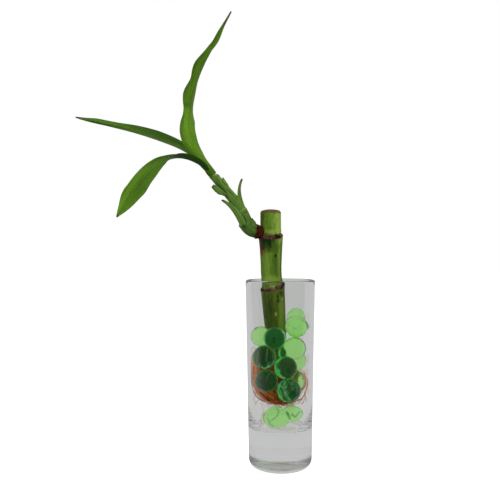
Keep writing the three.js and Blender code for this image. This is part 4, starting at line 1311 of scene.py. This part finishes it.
ROOTS = {
    "middle": Vector((0, 1.2, 51.5)),
    "radii": Vector((15.6, 14.8, 16.2)),
    "seat_distance": 6.6,
    "seat_heights": (49.5, 55.5),
    "sway": 1.4,
    "wriggles": 5,
    "spare": 0.08,
    "seed": 7,
    "steps": 34,
    "easing": 14,
    "front_beads": {3, 4, 5, 6, 7, 8, 9, 11, 12},
    # Each family: how many, thickness at the crown and at the tip, the turns where its roots
    # start, how far they slant, how high they climb, how far down they reach, how far out, and
    # how far they stray. A turn of 0 is right, 90 is the back and 180 is left. In turn: the main
    # roots, the strands at the right, the left edge, the climbers and the fine roots.
    "families": [
        (40, (0.35, 0.7), (0.18, 0.35), (104, 195), (-30, 18), (0.0, 0.7), (80, 130), (0.9, 1.0), 6),
        (14, (0.16, 0.3), (0.1, 0.18), (-5, 60), (-20, 20), (0.0, 0.3), (80, 120), (0.86, 0.98), 5),
        (12, (0.6, 0.95), (0.3, 0.5), (172, 196), (-12, 22), (0.0, 0.25), (85, 125), (0.93, 1.0), 2),
        (14, (0.4, 0.7), (0.2, 0.35), (95, 205), (-60, 60), (0.8, 1.15), (20, 75), (0.7, 1.0), 3),
        (165, (0.14, 0.28), (0.08, 0.14), (75, 205), (-60, 35), (0.0, 1.0), (70, 135), (0.9, 1.06), 9),
    ],
    # A root thinner than this may be pale, and this share of them is.
    "may_be_pale": 0.3,
    "pale_share": 0.15,
    # Single rootlets that stray from the cup: how thick, how pale, and their points.
    "rootlets": [
        (0.2, 0.3, [(-13.4, -2, 43), (-13.9, -3, 41), (-14.9, -3, 38.2), (-13.0, -4, 36)]),
        (0.15, 0.6, [(-12.0, -3, 38), (-13.6, -4, 36.6), (-14.2, -4, 34.5)]),
        (0.15, 0.5, [(-10.6, -4, 37), (-10.3, -5, 35.4), (-9.0, -6, 31.5)]),
        (0.16, 0.2, [(-9.4, -5, 31.5), (-10.4, -6, 29.2), (-10.9, -6, 25.8), (-9.0, -7, 23.4)]),
        (0.13, 1.0, [(0.5, -8, 24.6), (2.4, -9, 23.0), (5.2, -9, 22.0), (8.4, -8, 23.4)]),
        (0.13, 0.9, [(-2.0, -8, 22.2), (1.4, -9, 21.5), (4.6, -9, 21.6), (7.0, -9, 21.4)]),
        (0.25, 0.1, [(11.6, -2, 50), (12.4, -3, 48.4), (13.4, -3, 42.7), (14.6, -3, 37.1)]),
        (0.2, 0.6, [(12.4, 0, 49), (14.4, -1, 45), (14.0, -2, 40), (12.6, -4, 36.4)]),
        (0.3, 0.0, [
            (12.2, -1, 53), (14.0, -2, 50.6), (14.8, -3, 47.6), (12.6, -3, 39.4), (9.8, -3, 36.6),
        ]),
        (0.26, 0.1, [
            (13.0, -1, 52), (14.9, -2, 48.6), (14.6, -3, 44.6), (13.0, -4, 40.6), (11.4, -4, 37.6),
        ]),
        (0.22, 0.0, [
            (14.8, -2, 49.4), (15.0, -2, 46.0), (13.6, -3, 42.2), (13.6, -4, 39), (11.6, -4, 35.6),
        ]),
        (0.2, 0.1, [(-12.6, 2, 60), (-16.4, 0, 64.6), (-15.6, 0, 67.6), (-13.1, 0, 65.3)]),
        (0.2, 0.2, [(-12.0, 1, 58), (-15.4, 0, 60.4), (-14.4, 0, 64.0), (-12.4, 0, 62.8)]),
        (0.16, 0.5, [(-13.4, 1, 56), (-16.6, 0, 60), (-17.0, 0, 63), (-14.8, -1, 61.6)]),
    ],
    "rootlet_steps": 14,
    "rootlet_easing": 3,
}
# Hairs that leave the first roots in the list and stray towards the wall: how many, from how many
# roots, how many steps each has, how long a step is, how far the way bends at a step, how much it
# starts outwards, how far in from the root's ends, how thick a hair is, and its room.
HAIRS = {
    "count": 220, "roots": 70, "steps": (5, 13), "step": 0.7, "bend": 0.35, "outward": 0.8,
    "from_start": 6, "from_end": 2, "thick": (0.09, 0.15), "tip": 0.05, "room": 0.1, "easing": 2,
}
CROWN = {
    "outside": [
        (46.6, 3.0), (46.9, 4.6), (47.6, 5.8), (48.6, 6.6), (50.0, 7.1), (52.0, 7.3), (54.0, 7.3),
        (56.0, 7.2), (57.4, 7.0), (58.2, 6.6), (58.3, 6.25),
    ],
    "inside": [(54.0, 6.25), (49.85, 6.2), (49.7, 4.0)],
    "sides": 64,
}


def moved_clear(place, radius):
    """A point moved off the beads, the cane and the glass, with room for a root of a radius.

    Nothing passes between a front bead and the viewer: it goes round the bead instead.
    """
    moved = place.copy()
    room = radius + ROOTS["spare"]
    for number, (middle, bead_radius) in enumerate(beads, 1):
        off = moved - middle
        if number in ROOTS["front_beads"] and off.y < 0:
            off.y = 0
        short = bead_radius + room - off.length
        if short > 0:
            moved += off.normalized() * short
    foot = CANE["line"][0][2]
    if moved.z > foot - room:
        height = max(moved.z, foot)
        off = moved - cane_middle(height)
        off.z = 0
        short = cane_radius(height) + room - off.length
        if short > 0:
            moved += off.normalized() * short
    out = math.hypot(moved.x, moved.y)
    inside = outer_radius(moved.z) - GLASS["wall"] - room
    if out > inside:
        moved.x *= inside / out
        moved.y *= inside / out
    return moved


def eased(points, radius, rounds):
    """A chain of points drawn smooth and kept clear. The first point stays where it is."""
    for _ in range(rounds):
        smooth = [points[0]]
        for i in range(1, len(points)):
            place = points[i]
            if i + 1 < len(points):
                place = place.lerp((points[i - 1] + points[i + 1]) / 2, 0.5)
            smooth.append(moved_clear(place, radius))
        points = smooth
    return points


def cup_root(draw, turns, slants, climbs, reaches, depths, stray):
    """One root from the crown, up a little, over and down the cup."""
    middle, radii = ROOTS["middle"], ROOTS["radii"]
    turn = math.radians(draw.uniform(*turns))
    slant = math.radians(draw.uniform(*slants))
    climb = draw.uniform(*climbs)
    reach = math.radians(draw.uniform(*reaches))
    depth = draw.uniform(*depths)
    stray = Vector((draw.uniform(-0.5, 0.5), draw.uniform(-0.5, 0.5), 0)) * stray
    seat_height = draw.uniform(*ROOTS["seat_heights"])
    seat = cane_middle(max(seat_height, CANE["line"][0][2]))
    seat += Vector((math.cos(turn), math.sin(turn), 0)) * ROOTS["seat_distance"]
    seat.z = seat_height
    wriggle = draw.uniform(0, 50)
    chain = [seat, seat.copy()]
    for i in range(ROOTS["steps"]):
        share = i / (ROOTS["steps"] - 1)
        down = lerp(-climb, reach, share)
        around_middle = turn + slant * share
        out = depth * math.cos(max(down, 0))
        place = Vector((
            middle.x + radii.x * out * math.cos(around_middle),
            middle.y + radii.y * out * math.sin(around_middle),
            middle.z - radii.z * (down if down < 0 else depth * math.sin(down)),
        ))
        on = share * ROOTS["wriggles"]
        sway = Vector((rough(on, wriggle), rough(on, wriggle, 9), rough(wriggle, on)))
        chain.append(place + stray * share + sway * ROOTS["sway"])
    chain[1] = seat.lerp(chain[2], 0.5)
    return chain


def root_hair(draw, root):
    """A thin chain that leaves a root and wanders outwards."""
    place = root[draw.randrange(HAIRS["from_start"], len(root) - HAIRS["from_end"])].copy()
    way = Vector((draw.gauss(0, 1), draw.gauss(0, 1), draw.gauss(-0.3, 0.8))).normalized()
    way = (way + Vector((place.x, place.y, 0)).normalized() * HAIRS["outward"]).normalized()
    hair = [place]
    for _ in range(draw.randrange(*HAIRS["steps"])):
        way = (way + Vector([draw.gauss(0, HAIRS["bend"]) for _ in range(3)])).normalized()
        hair.append(hair[-1] + way * HAIRS["step"])
    return hair


def root_lines():
    """Every root as a chain of points, its thickness at both ends, its age and its paleness."""
    draw = random.Random(ROOTS["seed"])
    lines = []
    for count, thicks, thins, *ways in ROOTS["families"]:
        for _ in range(count):
            chain = cup_root(draw, *ways)
            thick = draw.uniform(*thicks)
            thin = draw.uniform(*thins)
            chain = eased(chain, thick, ROOTS["easing"])
            is_pale = thick < ROOTS["may_be_pale"] and draw.random() < ROOTS["pale_share"]
            pale = draw.random() if is_pale else 0.0
            lines.append((chain, thick, thin, draw.random(), pale))
    for _ in range(HAIRS["count"]):
        root = lines[draw.randrange(HAIRS["roots"])][0]
        hair = eased(root_hair(draw, root), HAIRS["room"], HAIRS["easing"])
        thick = draw.uniform(*HAIRS["thick"])
        lines.append((hair, thick, HAIRS["tip"], 0.3 * draw.random(), draw.random()))
    steps = ROOTS["rootlet_steps"]
    for thick, pale, points in ROOTS["rootlets"]:
        course = SmoothLine(points)
        chain = [course.at(i / steps) for i in range(steps + 1)]
        chain = eased(chain, thick, ROOTS["rootlet_easing"])
        lines.append((chain, thick, 0.6 * thick, 0.5 * (1 - pale), pale))
    return lines


def roots_piece():
    points, edges, rows = [], [], []
    for chain, thick, thin, age, pale in root_lines():
        edges += [(i, i + 1) for i in range(len(points), len(points) + len(chain) - 1)]
        points += chain
        for i, place in enumerate(chain):
            # The roots take more of the old, darker colour low down and close to the middle.
            deep = ease(place.z, 46, 37)
            inward = ease(math.hypot(place.x, place.y), 12.5, 8)
            rows.append({
                "thickness": lerp(thick, thin, i / (len(chain) - 1)) * MM,
                "age": clamp(0.4 * deep + 0.45 * inward + 2.6 * (age - 0.5)),
                "pale": 0.8 * pale,
            })
    values = {"Sides": 7, "Knots": 0.5, "Knot Spacing": 0.0022, "Finish": ROOT}
    mesh = grown("root_ball", points, edges, rows, tube_tree(), values)
    finish_piece("root_ball", mesh, ROOT, "roots", "roots")


def crown_piece():
    """The lumpy crown that closes round the cut foot of the cane."""
    foot = CANE["line"][0][2]
    sides, outside, inside = CROWN["sides"], CROWN["outside"], CROWN["inside"]
    points = []
    for z, radius in [*outside, *inside]:
        middle = cane_middle(max(z, foot))
        for _, x, y in around(sides):
            lump = 0.0 if (z, radius) in inside else 0.5 * rough(x, y, z * 0.35, 2.6)
            points.append((middle.x + (radius + lump) * x, middle.y + (radius + lump) * y, z))
    for z in (outside[0][0], inside[-1][0]):
        points.append(cane_middle(foot) + Vector((0, 0, z - foot)))
    rows = [{"age": 0.95, "pale": 0.0}] * len(points)
    faces = skin(len(outside) + len(inside), sides)
    make_piece("root_crown", points, faces, rows, ROOT, "roots", "roots")


# The stage, in metres

# The photo's camera is level. Its lens and sensor are in millimetres.
CAMERA = {"place": (-0.01705, -0.367, 0.1218), "lens": 46.8, "sensor": 36.0, "nearest": 0.01}
# Each light: its place, what it aims at, its size, and its power in watts.
LIGHTS = {
    "key": ((-0.45, -0.6, 0.75), (-0.02, 0, 0.13), (0.5, 0.5), 6.0),
    "fill": ((0.6, -0.45, 0.35), (-0.02, 0, 0.12), (0.5, 0.6), 3.0),
    "top": ((0.0, 0.2, 0.9), (-0.02, 0, 0.13), (0.6, 0.6), 3.0),
}
FLOOR = {"half": 3.0, "level": -0.0001, "colour": (0.8, 0.8, 0.8, 1), "glow": 0.7}
WHITE = (1, 1, 1, 1)
# What the studio in front sheds on dull surfaces.
FRONT_LIGHT = (0.3, 0.3, 0.3, 1)
# How bright the studio is behind the plant, and in front of it as glass and gel mirror it.
SEEN_BEHIND = 0.55
MIRRORED_FRONT = 0.06
BOUNCES = {
    "max_bounces": 48, "transmission_bounces": 48, "glossy_bounces": 16, "transparent_max_bounces": 16,
}


def area_light(name, place, aim, size, power):
    data = bpy.data.lights.new(name, "AREA")
    data.shape = "RECTANGLE"
    data.size, data.size_y = size
    data.energy = power
    light = linked(name, data)
    light.location = place
    light.rotation_euler = (Vector(aim) - Vector(place)).to_track_quat("-Z", "Y").to_euler()
    # The glass and the gel would show the lights as hard white spots.
    light.visible_transmission = False
    light.visible_glossy = False


def floor_finish():
    material, tree, shader = new_material("pale_floor")
    feed(tree, shader, Base_Color=FLOOR["colour"], Roughness=0.9, Specular_IOR_Level=0.0)
    path = tree.add("ShaderNodeLightPath")
    glow = tree.add("ShaderNodeEmission", {"Color": WHITE, "Strength": FLOOR["glow"]})[0]
    seen = tree.add("ShaderNodeAddShader", {0: shader.outputs[0], 1: glow})[0]
    # As in the world, what glass and gel mirror from in front is darker than what is behind.
    place = tree.add("ShaderNodeSeparateXYZ", {0: tree.position()})["Y"]
    behind = tree.range(place, -0.13, -0.05, MIRRORED_FRONT, SEEN_BEHIND)
    lit = tree.maths("MULTIPLY", path["Is Diffuse Ray"], SEEN_BEHIND)
    values = {"Color": WHITE, "Strength": tree.maths("MAXIMUM", behind, lit)}
    values = {0: path["Is Camera Ray"], 1: tree.add("ShaderNodeEmission", values)[0], 2: seen}
    tree.put(surface(tree), tree.add("ShaderNodeMixShader", values)[0])
    return material


def floor_piece():
    half, level = FLOOR["half"], FLOOR["level"]
    mesh = bpy.data.meshes.new("floor")
    corners = [(x, y, level) for x, y in ((-half, -half), (half, -half), (half, half), (-half, half))]
    mesh.from_pydata(corners, [], [(0, 1, 2, 3)])
    mesh.materials.append(floor_finish())
    floor = linked("floor", mesh)


def studio():
    world = bpy.data.worlds.new("studio")
    bpy.context.scene.world = world
    world.use_nodes = True
    tree = Tree(world.node_tree)
    path = tree.add("ShaderNodeLightPath")
    ways = tree.add("ShaderNodeSeparateXYZ", {0: tree.add("ShaderNodeTexCoord")["Generated"]})
    # The studio in front lights the plant, but low down it would veil the glass and the gel.
    mirrored = tree.grey(tree.range(ways["Z"], 0.2, 0.45, MIRRORED_FRONT, SEEN_BEHIND))
    front = tree.mix(path["Is Diffuse Ray"], mirrored, FRONT_LIGHT)
    dim = tree.mix(tree.range(ways["Y"], -0.4, 0.3), front, tree.grey(SEEN_BEHIND))
    colour = tree.mix(path["Is Camera Ray"], dim, WHITE)
    tree.put(world.node_tree.nodes["Background"].inputs["Color"], colour)
    for name, light in LIGHTS.items():
        area_light(name, *light)


def photo_camera():
    data = bpy.data.cameras.new("photo_camera")
    data.lens = CAMERA["lens"]
    data.sensor_width = CAMERA["sensor"]
    data.clip_start = CAMERA["nearest"]
    camera = linked("photo_camera", data)
    camera.location = CAMERA["place"]
    camera.rotation_euler = (math.pi / 2, 0, 0)
    bpy.context.scene.camera = camera


def looks():
    scene = bpy.context.scene
    scene.view_settings.view_transform = "Standard"
    for name, bounces in BOUNCES.items():
        setattr(scene.cycles, name, bounces)


photo_camera()
glass_piece()
cane_piece()
shoot_piece()
bracts_piece()
collar_piece()
leaf_pieces()
crown_piece()
roots_piece()
beads_piece()
floor_piece()
studio()
looks()
